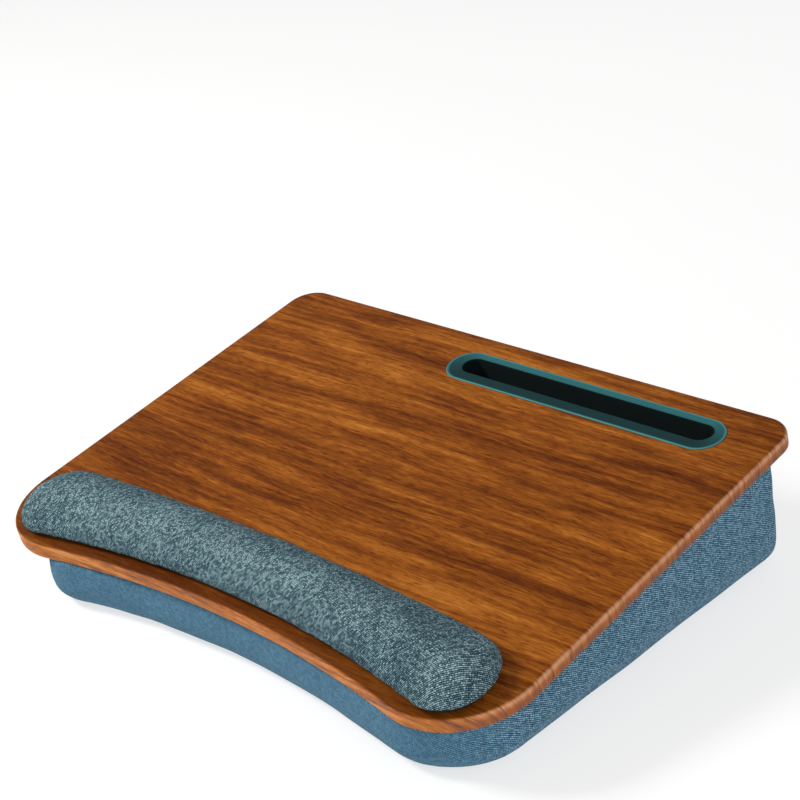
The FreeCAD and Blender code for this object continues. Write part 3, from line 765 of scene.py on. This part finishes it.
# %% [markdown]
# ## Setting the wrist rest down
# The pad is worked out in the board's plane, softened there, and only then carried
# to the tilted board. A hand glued pad is never as even as its drawing: this one
# leans a little to the right, and its rear side spreads towards both ends. The
# cloth is draped first: each point is pushed outwards by what the arc of the
# section is longer than its level distance, so that the weave is stretched nowhere.

# %% Wrist rest form
PAD_LEAN = np.array([2.5, -1.8]) * MM
PAD_FLARE = 15.0 * MM
PAD_FLARE_AT = 190.0 * MM
PAD_LOWEST = 0.05 * MM
RIGHT_FLARE_SHARE = 0.86


def pad_spine(points):
    """Distance along the pad's path, signed distance across it, and distance past a round end."""
    x, y = points[:, 0], points[:, 1] - HOLLOW_Y
    angle = np.arctan2(x, y)
    radius = np.hypot(x, y)
    past = np.maximum(np.abs(angle) - PAD_TURN, 0) * PAD_PATH
    return angle * PAD_PATH, radius - PAD_PATH, past


def step_up(value, start, run):
    """0 before the start, 1 after the run, straight between."""
    return np.clip((value - start) / run, 0, 1)


def ruffled(points, normals, free, waves):
    """Points moved along their normals by noises, each given by strength in mm, size and seed."""
    ripple = sum(strength * soft_noise(points, size, seed) for strength, size, seed in waves)
    return points + normals * (free * ripple * MM)[:, None]


def spread(points):
    """Rear side moved back by the square of the distance from the middle; all above the base leans."""
    along, across, _ = pad_spine(points)
    reach = np.abs(along) / PAD_FLARE_AT
    flare = np.minimum(reach, 1) ** 2 * (1 - 0.55 * step_up(reach, 0.9, 0.25) ** 1.5)
    rearward = step_up(across, -PAD_HALF, 2 * PAD_HALF)
    moved = np.array(points)
    moved[:, 1] += PAD_FLARE * flare * rearward * np.where(along > 0, RIGHT_FLARE_SHARE, 1.0)
    moved[:, :2] += PAD_LEAN * step_up(points[:, 2], PAD_BASE, PAD_WIDEST)[:, None]
    return moved


merge_close(wrist, WELD)
remesh(wrist, 3.2 * MM)
fill_out(wrist, lambda p: p[:, 2] < 3.0 * MM, 4.0, 1.6 * MM)
smoother(wrist)
wrist_flat = vertices_of(wrist)
wrist_flat = ruffled(wrist_flat, normals_of(wrist), step_up(wrist_flat[:, 2], 2 * MM, 8 * MM),
                     [(0.28, 0.045, 3), (0.14, 0.019, 4)])
wrist_flat[:, 2] = np.maximum(wrist_flat[:, 2], PAD_LOWEST)
set_vertices(wrist, to_desk(spread(wrist_flat)))
print("wrist rest now:", len(wrist.data.vertices), "points")

# %% Wrist rest cloth


def drape(points):
    """Place along and across the spine, pushed outwards by arc length less level distance."""
    along, across, past = pad_spine(points)
    outward = np.stack([np.sign(along) * past, across], -1)
    outward /= np.maximum(np.linalg.norm(outward, axis=1, keepdims=True), 1e-4)
    inset, height = pad_section()
    arc = np.concatenate([[0], np.cumsum(np.hypot(np.diff(inset), np.diff(height)))])
    spare = np.interp(points[:, 2], height, arc[-1] - arc - (PAD_HALF - inset))
    return np.stack([along, across], -1) + spare[:, None] * outward


def pad_painted_shade(points):
    """Painted shade on the pad: darker down the sides, behind the spine and to the right, but not at the
    right end.
    """
    along, across, _ = pad_spine(points)
    drop = np.maximum(PAD_BASE + PAD_WIDEST + PAD_RISE - points[:, 2], 0)
    shade = drop / PAD_RISE + 0.9 * step_up(across, -5 * MM, 16 * MM)
    shade = np.minimum(shade + 0.5 * step_up(along, 60 * MM, 100 * MM), 1.15)
    return shade - 0.75 * step_up(along, 175 * MM, 25 * MM)


keep_pattern(wrist, "cloth", np.column_stack([drape(wrist_flat), pad_painted_shade(wrist_flat)]))
print("cloth over the pad:", drape(wrist_flat).min(0).round(3), drape(wrist_flat).max(0).round(3))

# %% [markdown]
# ## Heathered weave
# The covers are twills of mixed yarns: pale, mid and navy fibres spun together.
# Seen close, a twill is rows of short slanted stitches, each one length of one
# yarn, and every next row starts a little further on. The finish cuts the cloth
# into such rows and stitches, gives each stitch a random yarn shade, darkens the
# gaps between them, and adds a slow cloud of lighter and darker yarn.

# %% Woven finishes


def woven(name, yarns, row, stitch, turn, speckle, gap, cloud_size, cloud, relief, calming,
          fibre, painted_shade=0.0, drift=0.8):
    """Rows of stitches at an angle: shade is stitch yarn, less the gaps, plus fuzz and a slow cloud.

    yarns are the ramp's stops; row and stitch are the sizes of one stitch; turn is the
    angle of the rows and drift how far they wander, in rows. The third number on the
    piece calms the pattern, and times painted_shade it darkens the colour towards the
    dark yarn as painted shade.
    """
    f = Finish(name, Sheen_Weight=0.03, Sheen_Roughness=0.5, Specular_IOR_Level=0.08)
    u, v, depth = f.pattern("cloth")
    c, s = math.cos(turn), math.sin(turn)
    wander = f.cloud(f.join(u * 90.0, v * 90.0), detail=2.0) - 0.5
    across = (v * c - u * s) / row + wander * drift
    line = across.whole()
    start = f.speck(f.join(line, 7.0))
    along = (u * c + v * s) / stitch + line * 0.37 + start * 0.5 + wander * 0.9
    shade = f.speck(f.join(line, along.whole(), 3.0))
    side = (across.part() - 0.5) * 2.0
    end = (along.part() - 0.5) * 2.0
    thread = (1 - side * side) * (1 - (end * end) ** 3.0 * 0.7)
    slow = f.cloud(f.join(u / cloud_size, v / cloud_size), detail=3.0, roughness=0.6) - 0.5
    fuzz = f.cloud(f.join(u * 1500.0, v * 1500.0, 2.0), detail=1.0) - 0.5
    tone = (shade - 0.5) * speckle + (thread - 0.60) * gap + fuzz * fibre
    # Painted shade: the piece's third number times painted_shade darkens the yarn.
    tone = 0.5 + tone * (1 - depth * calming) + slow * cloud - depth * painted_shade
    f.feed("Base Color", f.ramp(tone, yarns))
    f.feed("Roughness", 0.90 + fuzz * 0.10)
    f.bump(thread * (1 - depth * calming) + fuzz * 0.2, relief, 0.8)
    return f


def foam(name, colour):
    """Small round cells, darker in their middles; it also serves for thread and for cloth backs."""
    f = Finish(name, Roughness=0.95)
    x, y, z = f.place()
    cells = f.add("ShaderNodeTexVoronoi", {}, {"Vector": f.join(x, y, z), "Scale": 900.0})
    f.feed("Base Color", f.mix(cells * 1.2, [c * 0.6 for c in colour], colour))
    f.bump(cells, 0.0005, 0.8)
    return f


MELANGE = woven(
    "melange_weave",
    [(0.05, (0.006, 0.018, 0.031)), (0.35, (0.030, 0.069, 0.093)), (0.55, (0.079, 0.145, 0.170)),
     (0.78, (0.182, 0.294, 0.318)), (1.0, (0.380, 0.535, 0.550))],
    row=1.22 * MM, stitch=1.6 * MM, turn=math.radians(58), speckle=0.56, gap=0.92,
    cloud_size=0.035, cloud=0.34, relief=0.00036, calming=0.10, painted_shade=0.14, fibre=1.3, drift=1.5)
dress(wrist, MELANGE)
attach(wrist, "desk")
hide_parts("wrist_rest_cover", "wrist_rest_foam")
print("weave nodes:", len(MELANGE.tree.nodes))

# %% [markdown]
# ## Cushion
# The cushion is a foam wedge in a tight sewn cover. Its wall stands on a wide round
# at the floor and leans in a little under the board, which hides its flat top. The
# wall's height changes all the way round because the board is tilted, so each
# row of the wall is a share of the height at its own place. A sewn cover is never
# quite square: on this one the left front corner is drawn in.

# %% Cushion shape
CUSHION = {"half_width": BOARD["half_width"] - 8.5 * MM, "rear": REAR_REACH - 4.0 * MM,
           "rear_corner": 19.0 * MM, "front_corner": 56.0 * MM, "hollow": 18.0 * MM,
           "front": UNDERSIDE_SHIFT + 1.5 * MM + BOARD["front"] * math.cos(TILT)}
CUSHION_ROUND = 18.0 * MM
CUSHION_SLACK = 1.0 * MM
DRAW_IN_START = 62.0 * MM
DRAW_IN_RUN = 56.0 * MM
DRAW_IN = 4.5 * MM
CORNER_PULL = 27.0 * MM
CUSHION_STEP = 4.0 * MM
# Inset behind the wall's top row and fall below the board's underside, for the hidden top.
HIDDEN_TOP = np.array([(4.0, 0.0), (12.0, 0.0), (14.0, 13.0), (17.5, 13.5)]) * MM


def underside_height(x, y):
    """Height of the board's underside plane above the floor."""
    return BOARD_LIFT + (y * math.sin(TILT) - BOARD_THICKNESS) / math.cos(TILT)


def cushion_shape():
    """Underside, quarter round, wall and a top rolled in under the board."""
    points, out = hollow_front_outline(**CUSHION, step=CUSHION_STEP)
    turn = np.linspace(0, math.pi / 2, 9)
    low_inset = CUSHION_ROUND * (1 - np.sin(turn))
    low_height = CUSHION_ROUND * (1 - np.cos(turn))
    rows = [band(points, out, low_inset, low_height)]
    share = np.linspace(0, 1, 13)[1:, None]
    top = underside_height(points[:, 0], points[:, 1])[None]
    level = CUSHION_ROUND + share * (top - CUSHION_ROUND)
    lean = DRAW_IN * step_up(level, DRAW_IN_START, DRAW_IN_RUN)
    slack = CUSHION_SLACK * np.sin(math.pi * share)
    flat = points[None] - (lean + slack)[..., None] * out[None]
    rows.append(np.concatenate([flat, level[..., None]], -1))
    for inset, fall in HIDDEN_TOP:
        flat = points - (lean[-1][:, None] + inset) * out
        level = underside_height(flat[:, 0], flat[:, 1]) - fall
        rows.append(np.concatenate([flat, level[:, None]], -1)[None])
    grid = np.concatenate(rows)
    count, columns = grid.shape[:2]
    faces = ring_faces(count, columns)
    faces.append(list(range(columns))[::-1])
    faces.append(list(range((count - 1) * columns, count * columns)))
    grid[..., 1] += SHIFT_Y
    return make_piece("cushion", grid, faces)


def draw_corner(points):
    """Shift to the right at the left front corner, fading out towards the middle and the back."""
    side = step_up(-points[:, 0], 60 * MM, 160 * MM) ** 1.6
    front = step_up(-points[:, 1], -110 * MM, 190 * MM)
    front = front * front * (3 - 2 * front)
    moved = np.array(points)
    moved[:, 0] += CORNER_PULL * side * front
    return moved


cushion = cushion_shape()
print("cushion:", len(cushion.data.vertices), "points")

# %% [markdown]
# ## Filling and pressing the cushion
# The wedge is blown up and ruffled like the pad. Then it is pressed flat in three
# places: behind the zip, under the board, and on the floor, where the grip panel
# lies over it. The weave follows the distance round the outline and the height,
# and under the bottom edge it runs on inwards, so that it is stretched nowhere.

# %% Cushion form
TAPE_PLANE = 166.0 * MM
ZIP_LEVEL = 45.0 * MM
ZIP_PRESS = {"height": 16.0 * MM, "half_width": 180.0 * MM, "depth": 0.4 * MM}
PANEL_ROOM = 1.0 * MM


def cushion_place(points, part=4000):
    """Distance round the cushion's outline, distance inwards from it and the outward direction.

    Each point takes the nearest point of the outline, and the rest of its way along the edge.
    """
    outline, out = hollow_front_outline(**CUSHION, step=CUSHION_STEP)
    outline = outline + (0, SHIFT_Y)
    run = np.concatenate([[0], np.cumsum(np.linalg.norm(np.diff(outline, axis=0), axis=1))])
    nearest = np.concatenate([
        np.argmin(((points[start:start + part, None, :2] - outline[None]) ** 2).sum(-1), 1)
        for start in range(0, len(points), part)])
    facing = out[nearest]
    offset = points[:, :2] - outline[nearest]
    tangent = np.stack([-facing[:, 1], facing[:, 0]], -1)
    return run[nearest] + (offset * tangent).sum(-1), -(offset * facing).sum(-1), facing


def lid_gap(points):
    """Room between a point and the board's underside."""
    return underside_height(points[:, 0], points[:, 1] - SHIFT_Y) - points[:, 2]


def pressed(points, underneath):
    """Held behind the zip's tapes, below the board and above the grip panel."""
    level = np.abs(points[:, 2] - ZIP_LEVEL) < ZIP_PRESS["height"]
    near_zip = level & (np.abs(points[:, 0]) < ZIP_PRESS["half_width"]) & (points[:, 1] > 0)
    flat = np.array(points)
    flat[near_zip, 1] = np.minimum(flat[near_zip, 1], TAPE_PLANE - ZIP_PRESS["depth"])
    flat[:, 2] = np.maximum(flat[:, 2] + np.minimum(lid_gap(flat), 0), 0)
    flat[underneath, 2] = np.maximum(flat[underneath, 2], PANEL_ROOM)
    return flat


merge_close(cushion, WELD)
remesh(cushion, 5.0 * MM)
fill_out(cushion, lambda p: (p[:, 2] < 4 * MM) | (lid_gap(p) < 5 * MM), 4.0, 1.8 * MM)
smoother(cushion)
body = vertices_of(cushion)
place, inwards, facing = cushion_place(body)
underneath = normals_of(cushion)[:, 2] < -0.97
free = step_up(body[:, 2], 0, 10 * MM) * step_up(lid_gap(body), 0, 12 * MM)
body = ruffled(body, normals_of(cushion), free, [(0.5, 0.085, 11), (0.22, 0.034, 12)])
body = pressed(draw_corner(body), underneath)
rise = body[:, 2] - np.maximum(inwards, 0) * (body[:, 2] < 25 * MM)
keep_pattern(cushion, "cloth", np.stack([place, rise, np.clip(-facing[:, 1], 0, 1)], -1))
set_vertices(cushion, body)
print("cushion now:", len(body), "points, cloth round it:", round(float(np.ptp(place)), 3))

# %% Denim finish
DENIM = woven(
    "denim_weave",
    [(0.05, (0.004, 0.020, 0.042)), (0.35, (0.032, 0.092, 0.150)), (0.55, (0.072, 0.172, 0.255)),
     (0.78, (0.150, 0.290, 0.390)), (1.0, (0.300, 0.470, 0.580))],
    row=1.3 * MM, stitch=1.9 * MM, turn=math.radians(-22.7), speckle=0.38, gap=0.92,
    cloud_size=0.045, cloud=0.10, relief=0.00030, calming=0.65, fibre=0.9)
dress(cushion, DENIM)
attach(cushion, "desk")
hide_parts("cushion_cover", "cushion_foam")
print("denim nodes:", len(DENIM.tree.nodes))

# %% [markdown]
# ## Grip panel
# The underside is a panel of dark cloth with rubber dots, sewn in so that the desk
# does not slide on the legs. It follows the cushion's outline, so it is the same
# formula moved inwards, with a low round at its sewn border, and it is drawn in at
# the same corner.

# %% Grip panel shape
PANEL = {"half_width": 202.5 * MM, "rear": 145.5 * MM - SHIFT_Y, "rear_corner": 14.0 * MM,
         "front_corner": 50.0 * MM, "hollow": 16.0 * MM, "front": -146.0 * MM - SHIFT_Y}
PANEL_STEP = 6.0 * MM
# Inset and height of the rim's rows, from the cover down to the flat sheet.
PANEL_RIM = np.array([(0.0, 1.1), (0.3, 0.7), (1.2, 0.42), (3.0, 0.35)]) * MM


def grip_panel():
    """A flat sheet whose rim rolls up into the cover."""
    points, out = hollow_front_outline(**PANEL, step=PANEL_STEP)
    grid = band(points, out, *PANEL_RIM.T)
    grid[..., 1] += SHIFT_Y
    rows, columns = grid.shape[:2]
    faces = ring_faces(rows, columns, flip=True)
    faces.append(list(range((rows - 1) * columns, rows * columns))[::-1])
    return make_piece("grip_panel", draw_corner(grid.reshape(-1, 3)), faces)


panel = grip_panel()
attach(panel, "desk")
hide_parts("cushion_grip_panel")
print("grip panel:", len(panel.data.polygons), "faces")

# %% [markdown]
# ## Stitches and zip elements
# Both are one small shape repeated along a path. The shape is a short bar with
# round ends: rings of a few points whose radius follows half an ellipse. Every
# copy has its own centre and its own three directions, so that all copies are
# placed by one product of arrays, and the bars stay at a few dozen faces each.

# %% Repeated bars


def bars(name, centres, along, lift, length, width, height, rings=5, around=8, square=2.0):
    """Copies of a bar of rings; a ring's radius is the root of 1 less a power of its way to the end.

    The length goes along, the height goes up the lift and the width across both.
    """
    share = np.linspace(-1, 1, rings)
    radius = np.maximum(1 - np.abs(share) ** square, 0.18) ** 0.5
    angle = np.linspace(0, 2 * math.pi, around, endpoint=False)
    local = np.stack([
        np.broadcast_to(share[:, None] * length / 2, (rings, around)),
        radius[:, None] * np.cos(angle) * width / 2,
        radius[:, None] * np.sin(angle) * height / 2], -1).reshape(-1, 3)
    across = np.cross(lift, along)
    axes = np.stack([along, across, lift], 1)
    verts = centres[:, None] + np.einsum("pk,nkc->npc", local, axes)
    one = ring_faces(rings, around)
    one += [list(range(around))[::-1], list(range((rings - 1) * around, rings * around))]
    faces = [[i + k * rings * around for i in face] for k in range(len(centres)) for face in one]
    return make_piece(name, verts, faces)


def straight_run(start, end, pitch):
    """Centres at an even pitch along a line, with the line's direction at each."""
    start, end = np.array(start, float), np.array(end, float)
    reach = np.linalg.norm(end - start)
    count = int(reach / pitch)
    share = (np.arange(count) + 0.5) / count
    return start + share[:, None] * (end - start), np.tile((end - start) / reach, (count, 1))


print("bars of a test run:", len(straight_run((0, 0, 0), (1, 0, 0), 0.1)[0]))

# %% [markdown]
# ## The zip's rows
# A moulded zip has two rows of short bars that face each other. Each bar stands
# across its tape; a thin cord runs under each row and holds the bars together.

# %% Zip rows
ZIP_LENGTH = 325.0 * MM
ZIP_PITCH = 1.5 * MM
ZIP_FACE = 166.03 * MM
ROW_APART = 1.8 * MM
BAR_RISE = 0.9 * MM
BAR_SIZE = np.array([2.2, 0.95, 1.7]) * MM
CORD_RISE = 0.35 * MM
CORD_SIZE = np.array([1.5, 0.7]) * MM


def zip_row(name, level):
    """Bars across the tape, all at one level, with a cord behind them."""
    start, end = (-ZIP_LENGTH / 2, 0, 0), (ZIP_LENGTH / 2, 0, 0)
    centres, _ = straight_run(start, end, ZIP_PITCH)
    centres = centres + (0, ZIP_FACE + BAR_RISE, level)
    across = np.tile((0.0, 0.0, 1.0), (len(centres), 1))
    lift = np.tile((0.0, 1.0, 0.0), (len(centres), 1))
    row = bars(name, centres, across, lift, *BAR_SIZE, square=4.0)
    centre, way = straight_run(start, end, ZIP_LENGTH)
    centre = centre + (0, ZIP_FACE + CORD_RISE, level)
    cord = bars(name + "_cord", centre, way, lift[:1], ZIP_LENGTH, *CORD_SIZE, rings=3, square=30.0)
    return row, cord


upper_row, upper_cord = zip_row("zip_row_upper", ZIP_LEVEL + ROW_APART)
lower_row, lower_cord = zip_row("zip_row_lower", ZIP_LEVEL - ROW_APART)
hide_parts("zip_coil_upper")
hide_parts("zip_coil_lower")
for piece in (upper_row, lower_row, upper_cord, lower_cord):
    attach(piece, "desk")
print("zip bars per row:", len(upper_row.data.polygons) // 34)

# %% [markdown]
# ## Stitching
# The tapes and the grip panel are sewn on with a lock stitch. The thread lies in
# short dashes a little proud of the cloth, close to each sewn border.

# %% Stitching


def sewn_line(name, points, lift, pitch=3.4 * MM, thread=0.55 * MM):
    """Dashes of thread along a line of points, lying on the side that lift points to."""
    step = np.linalg.norm(np.diff(points, axis=0), axis=1)
    run = np.concatenate([[0], np.cumsum(step)])
    count = int(run[-1] / pitch)
    place = (np.arange(count) + 0.5) / count * run[-1]
    centres = np.stack([np.interp(place, run, points[:, k]) for k in range(3)], -1)
    ahead = np.stack([np.interp(place + pitch / 4, run, points[:, k]) for k in range(3)], -1)
    along = ahead - centres + 1e-9
    along /= np.linalg.norm(along, axis=1, keepdims=True)
    lifts = np.tile(np.asarray(lift, float), (count, 1))
    return bars(name, centres, along, lifts, pitch * 0.72, thread, thread * 0.7, rings=4, around=6)


def panel_border(inset=4.5 * MM, height=0.22 * MM):
    """The grip panel's outline less an inset, closed, just below the sheet."""
    points, out = hollow_front_outline(**PANEL, step=PANEL_STEP)
    flat = points - inset * out + (0, SHIFT_Y)
    loop = np.c_[flat, np.full(len(flat), height)]
    return draw_corner(np.concatenate([loop, loop[:1]]))


THREAD = foam("sewing_thread", (0.10, 0.16, 0.22))
TAPE_SEAM = np.array([(-171.0, 166.15, 0.0), (171.0, 166.15, 0.0)]) * MM
SEAM_APART = 7.2 * MM
rows_of_thread = [
    sewn_line("stitches_upper", TAPE_SEAM + (0, 0, ZIP_LEVEL + SEAM_APART), (0, 1, 0)),
    sewn_line("stitches_lower", TAPE_SEAM + (0, 0, ZIP_LEVEL - SEAM_APART), (0, 1, 0)),
    sewn_line("stitches_panel", panel_border(), (0, 0, -1)),
]
for piece in rows_of_thread:
    dress(piece, THREAD)
    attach(piece, "desk")
    print(piece.name, len(piece.data.polygons), "faces")

# %% [markdown]
# ## The rest of the frame
# Some CAD nodes stay in view, and the others would show if the desk were taken apart.
# They are made of raw fibreboard, woven tape, enamelled metal and dotted cloth, and
# each of these is one more small tree.

# %% More finishes


def fibreboard():
    """Pressed fibres: a fine noise through three browns, over a slow one."""
    f = Finish("fibreboard", Roughness=0.85)
    x, y, z = f.place()
    fibre = f.cloud(f.join(x * 700.0, y * 700.0, z * 700.0), detail=4.0, roughness=0.7)
    slow = f.cloud(f.join(x * 30.0, y * 30.0, z * 30.0), detail=2.0)
    f.feed("Base Color", f.ramp(fibre * 0.7 + slow * 0.3, [
        (0.3, (0.150, 0.090, 0.045)), (0.5, (0.250, 0.155, 0.080)), (0.7, (0.340, 0.225, 0.125))]))
    f.bump(fibre, 0.0002, 0.5)
    return f


def tape(name, colour, pitch):
    """Woven tape: a wave along it, pushed to and fro by a slower wave across, gives chevrons."""
    f = Finish(name, Roughness=0.9, Sheen_Weight=0.2)
    x, y, z = f.place()
    zig = (z * (math.pi / pitch / 4)).wave().size() * 1.6 + x / pitch
    rib = (zig * (2 * math.pi)).wave() * 0.5 + 0.5
    fuzz = f.cloud(f.join(x * 2500.0, y * 2500.0, z * 2500.0), detail=2.0)
    shade = rib * 0.6 + fuzz * 0.4
    f.feed("Base Color", f.mix(shade, [c * 0.45 for c in colour], [c * 1.35 for c in colour]))
    f.bump(rib * 0.7 + fuzz * 0.3, 0.0002, 0.8)
    return f


def enamel(name, colour):
    """Dark enamelled casting: one noise makes it paler in spots of wear and uneven in gloss."""
    f = Finish(name, Metallic=0.85, Coat_Weight=0.2)
    x, y, z = f.place()
    wear = f.cloud(f.join(x * 500.0, y * 500.0, z * 500.0), detail=4.0, roughness=0.65)
    f.feed("Base Color", f.mix(wear.between(0.58, 0.75), colour, [c * 2.2 for c in colour]))
    f.feed("Roughness", 0.26 + wear * 0.22)
    f.bump(wear, 0.00003, 0.4)
    return f


def grip_cloth():
    """Dark cloth with rows of small raised rubber dots, every other row shifted by half."""
    f = Finish("grip_fabric")
    x, y, z = f.place()
    spacing = 7.0 * MM
    row = (y / spacing).whole()
    a = ((x / spacing) + row * 0.5).part() - 0.5
    b = (y / spacing).part() - 0.5
    near = (a * a + b * b) ** 0.5
    dot = near.between(0.22, 0.17)
    weave = f.cloud(f.join(x * 1500.0, y * 2200.0, z), detail=3.0)
    cloth = f.mix(weave, (0.016, 0.020, 0.028), (0.060, 0.070, 0.088))
    f.feed("Base Color", f.mix(dot, cloth, (0.012, 0.013, 0.015)))
    f.feed("Roughness", 0.9 - dot * 0.45)
    f.bump(dot + weave * 0.15, 0.0006, 0.8)
    return f


GRIP_CLOTH = grip_cloth()
dress(panel, GRIP_CLOTH)
print("grip cloth nodes:", len(GRIP_CLOTH.tree.nodes))

# %% [markdown]
# ## Dressing the frame
# One table says which finish each node wears, so that nothing is left bare. Both
# zip tapes share one, and so do the metal parts.

# %% Frame finishes
ZIP_TAPE = tape("zip_tape", (0.030, 0.060, 0.095), 0.9 * MM)
ZIP_ELEMENTS = moulded_plastic("zip_elements", (0.018, 0.034, 0.056), 0.3)
DARK_METAL = enamel("zip_metal", (0.10, 0.105, 0.115))
FRAME_FINISHES = {
    "board_core": fibreboard(),
    "board_laminate": WALNUT,
    "slot_liner": moulded_plastic("teal_core", (0.008, 0.074, 0.086), 0.48, shine=0.22),
    "wrist_rest_adhesive": moulded_plastic("adhesive_sheet", (0.72, 0.70, 0.62), 0.5),
    "wrist_rest_base": moulded_plastic("base_plate", (0.02, 0.02, 0.022), 0.5),
    "wrist_rest_cover": foam("cover_backing", (0.05, 0.10, 0.12)),
    "wrist_rest_foam": foam("pad_foam", (0.62, 0.60, 0.50)),
    "hook_strips": moulded_plastic("hook_tape", (0.012, 0.012, 0.014), 0.6, 1800.0, 0.0006),
    "loop_strips": tape("loop_tape", (0.016, 0.016, 0.019), 0.6 * MM),
    "cushion_cover": foam("cover_lining", (0.05, 0.11, 0.16)),
    "cushion_foam": foam("cushion_foam", (0.66, 0.64, 0.56)),
    "cushion_grip_panel": GRIP_CLOTH,
    "zip_tape_upper": ZIP_TAPE,
    "zip_tape_lower": ZIP_TAPE,
    "zip_coil_upper": ZIP_ELEMENTS,
    "zip_coil_lower": ZIP_ELEMENTS,
    "zip_end_stops": DARK_METAL,
    "zip_slider": DARK_METAL,
    "zip_pull": DARK_METAL,
}
for node, finish in FRAME_FINISHES.items():
    dress(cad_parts[node], finish)
for piece in (upper_row, lower_row, upper_cord, lower_cord):
    dress(piece, ZIP_ELEMENTS)
print("frame finishes:", len(FRAME_FINISHES))

# %% [markdown]
# ## Floor
# Things for sale are often photographed on a sheet of white paper. A white sheet
# alone would show grey shadows, so this floor also glows a little, as a light table
# does.

# %% Floor


def pale_floor():
    """Light grey with a glow that brings it to white, so that shadows stay faint."""
    f = Finish("pale_floor", Roughness=0.9, Emission_Color=(1.0, 1.0, 1.0, 1.0), Emission_Strength=0.66)
    x, y, z = f.place()
    slow = f.cloud(f.join(x * 3.0, y * 3.0), detail=2.0)
    f.feed("Base Color", f.mix(slow, (0.335, 0.335, 0.335), (0.350, 0.350, 0.350)))
    return f


corners = [(-6, -6, 0), (6, -6, 0), (6, 6, 0), (-6, 6, 0)]
floor = make_piece("floor", corners, [(0, 1, 2, 3)], smooth=False)
dress(floor, pale_floor())
print("floor:", len(floor.data.polygons), "face")

# %% [markdown]
# ## Light
# Even light from all round keeps the dark sides readable. Three round lamps give it
# direction: a warm key from the left, a wide cool fill from the right, and a weak one
# from behind, which draws the edges.

# %% Light
world = bpy.data.worlds.new("studio")
bpy.context.scene.world = world
world.use_nodes = True
sky = world.node_tree.nodes["Background"]
sky.inputs["Color"].default_value = (1.0, 1.0, 1.0, 1.0)
sky.inputs["Strength"].default_value = 0.42


def soft_light(name, place, aim, size, power, colour=(1, 1, 1)):
    """Round lamp of a size in metres and a power in watts, turned to face its aim."""
    light = bpy.data.lights.new(name, "AREA")
    light.shape, light.size, light.energy, light.color = "DISK", size, power, colour
    lamp = bpy.data.objects.new(name, light)
    bpy.context.scene.collection.objects.link(lamp)
    lamp.location = place
    lamp.rotation_mode = "QUATERNION"
    lamp.rotation_quaternion = (Vector(aim) - Vector(place)).to_track_quat("-Z", "Y")
    return lamp


soft_light("key", (-1.45, -0.90, 1.45), (0, 0, 0.05), 0.60, 40.0, (1.0, 0.985, 0.96))
soft_light("fill", (1.9, -1.1, 1.1), (0, 0, 0.05), 1.6, 19.0, (0.97, 0.985, 1.0))
soft_light("back", (0.3, 1.9, 1.4), (0, 0, 0.05), 1.2, 3.0)
print("lamps:", len(bpy.data.lights))

# %% [markdown]
# ## Camera
# The camera stands where the photograph was taken from. Its bearing, height, roll
# and lens were worked out from the edges of the board and the slot: level lines that
# meet far away give the directions, and the size of the board gives the distance.

# %% Camera
AZIMUTH, ELEVATION, ROLL = (math.radians(a) for a in (45.49, 25.53, -6.0))
AIM = Vector((-0.11840, 0.14794 + SHIFT_Y, 0.040))
DISTANCE = 1.52379
level = math.cos(ELEVATION)
back = Vector((math.sin(AZIMUTH) * level, -math.cos(AZIMUTH) * level, math.sin(ELEVATION)))
right = Vector((math.cos(AZIMUTH), math.sin(AZIMUTH), 0))
up = back.cross(right)
turned_right = right * math.cos(ROLL) + up * math.sin(ROLL)
turned_up = up * math.cos(ROLL) - right * math.sin(ROLL)
camera = bpy.data.objects.new("camera", bpy.data.cameras.new("camera"))
bpy.context.scene.collection.objects.link(camera)
camera.data.sensor_width, camera.data.lens = 36.0, 87.456
camera.data.clip_start, camera.data.clip_end = 0.05, 50.0
spot = AIM + back * DISTANCE
camera.matrix_world = Matrix([
    (turned_right.x, turned_up.x, back.x, spot.x),
    (turned_right.y, turned_up.y, back.y, spot.y),
    (turned_right.z, turned_up.z, back.z, spot.z),
    (0, 0, 0, 1),
])
bpy.context.scene.camera = camera
bpy.context.scene.view_settings.view_transform = "Standard"
print("camera at", [round(c, 3) for c in spot])
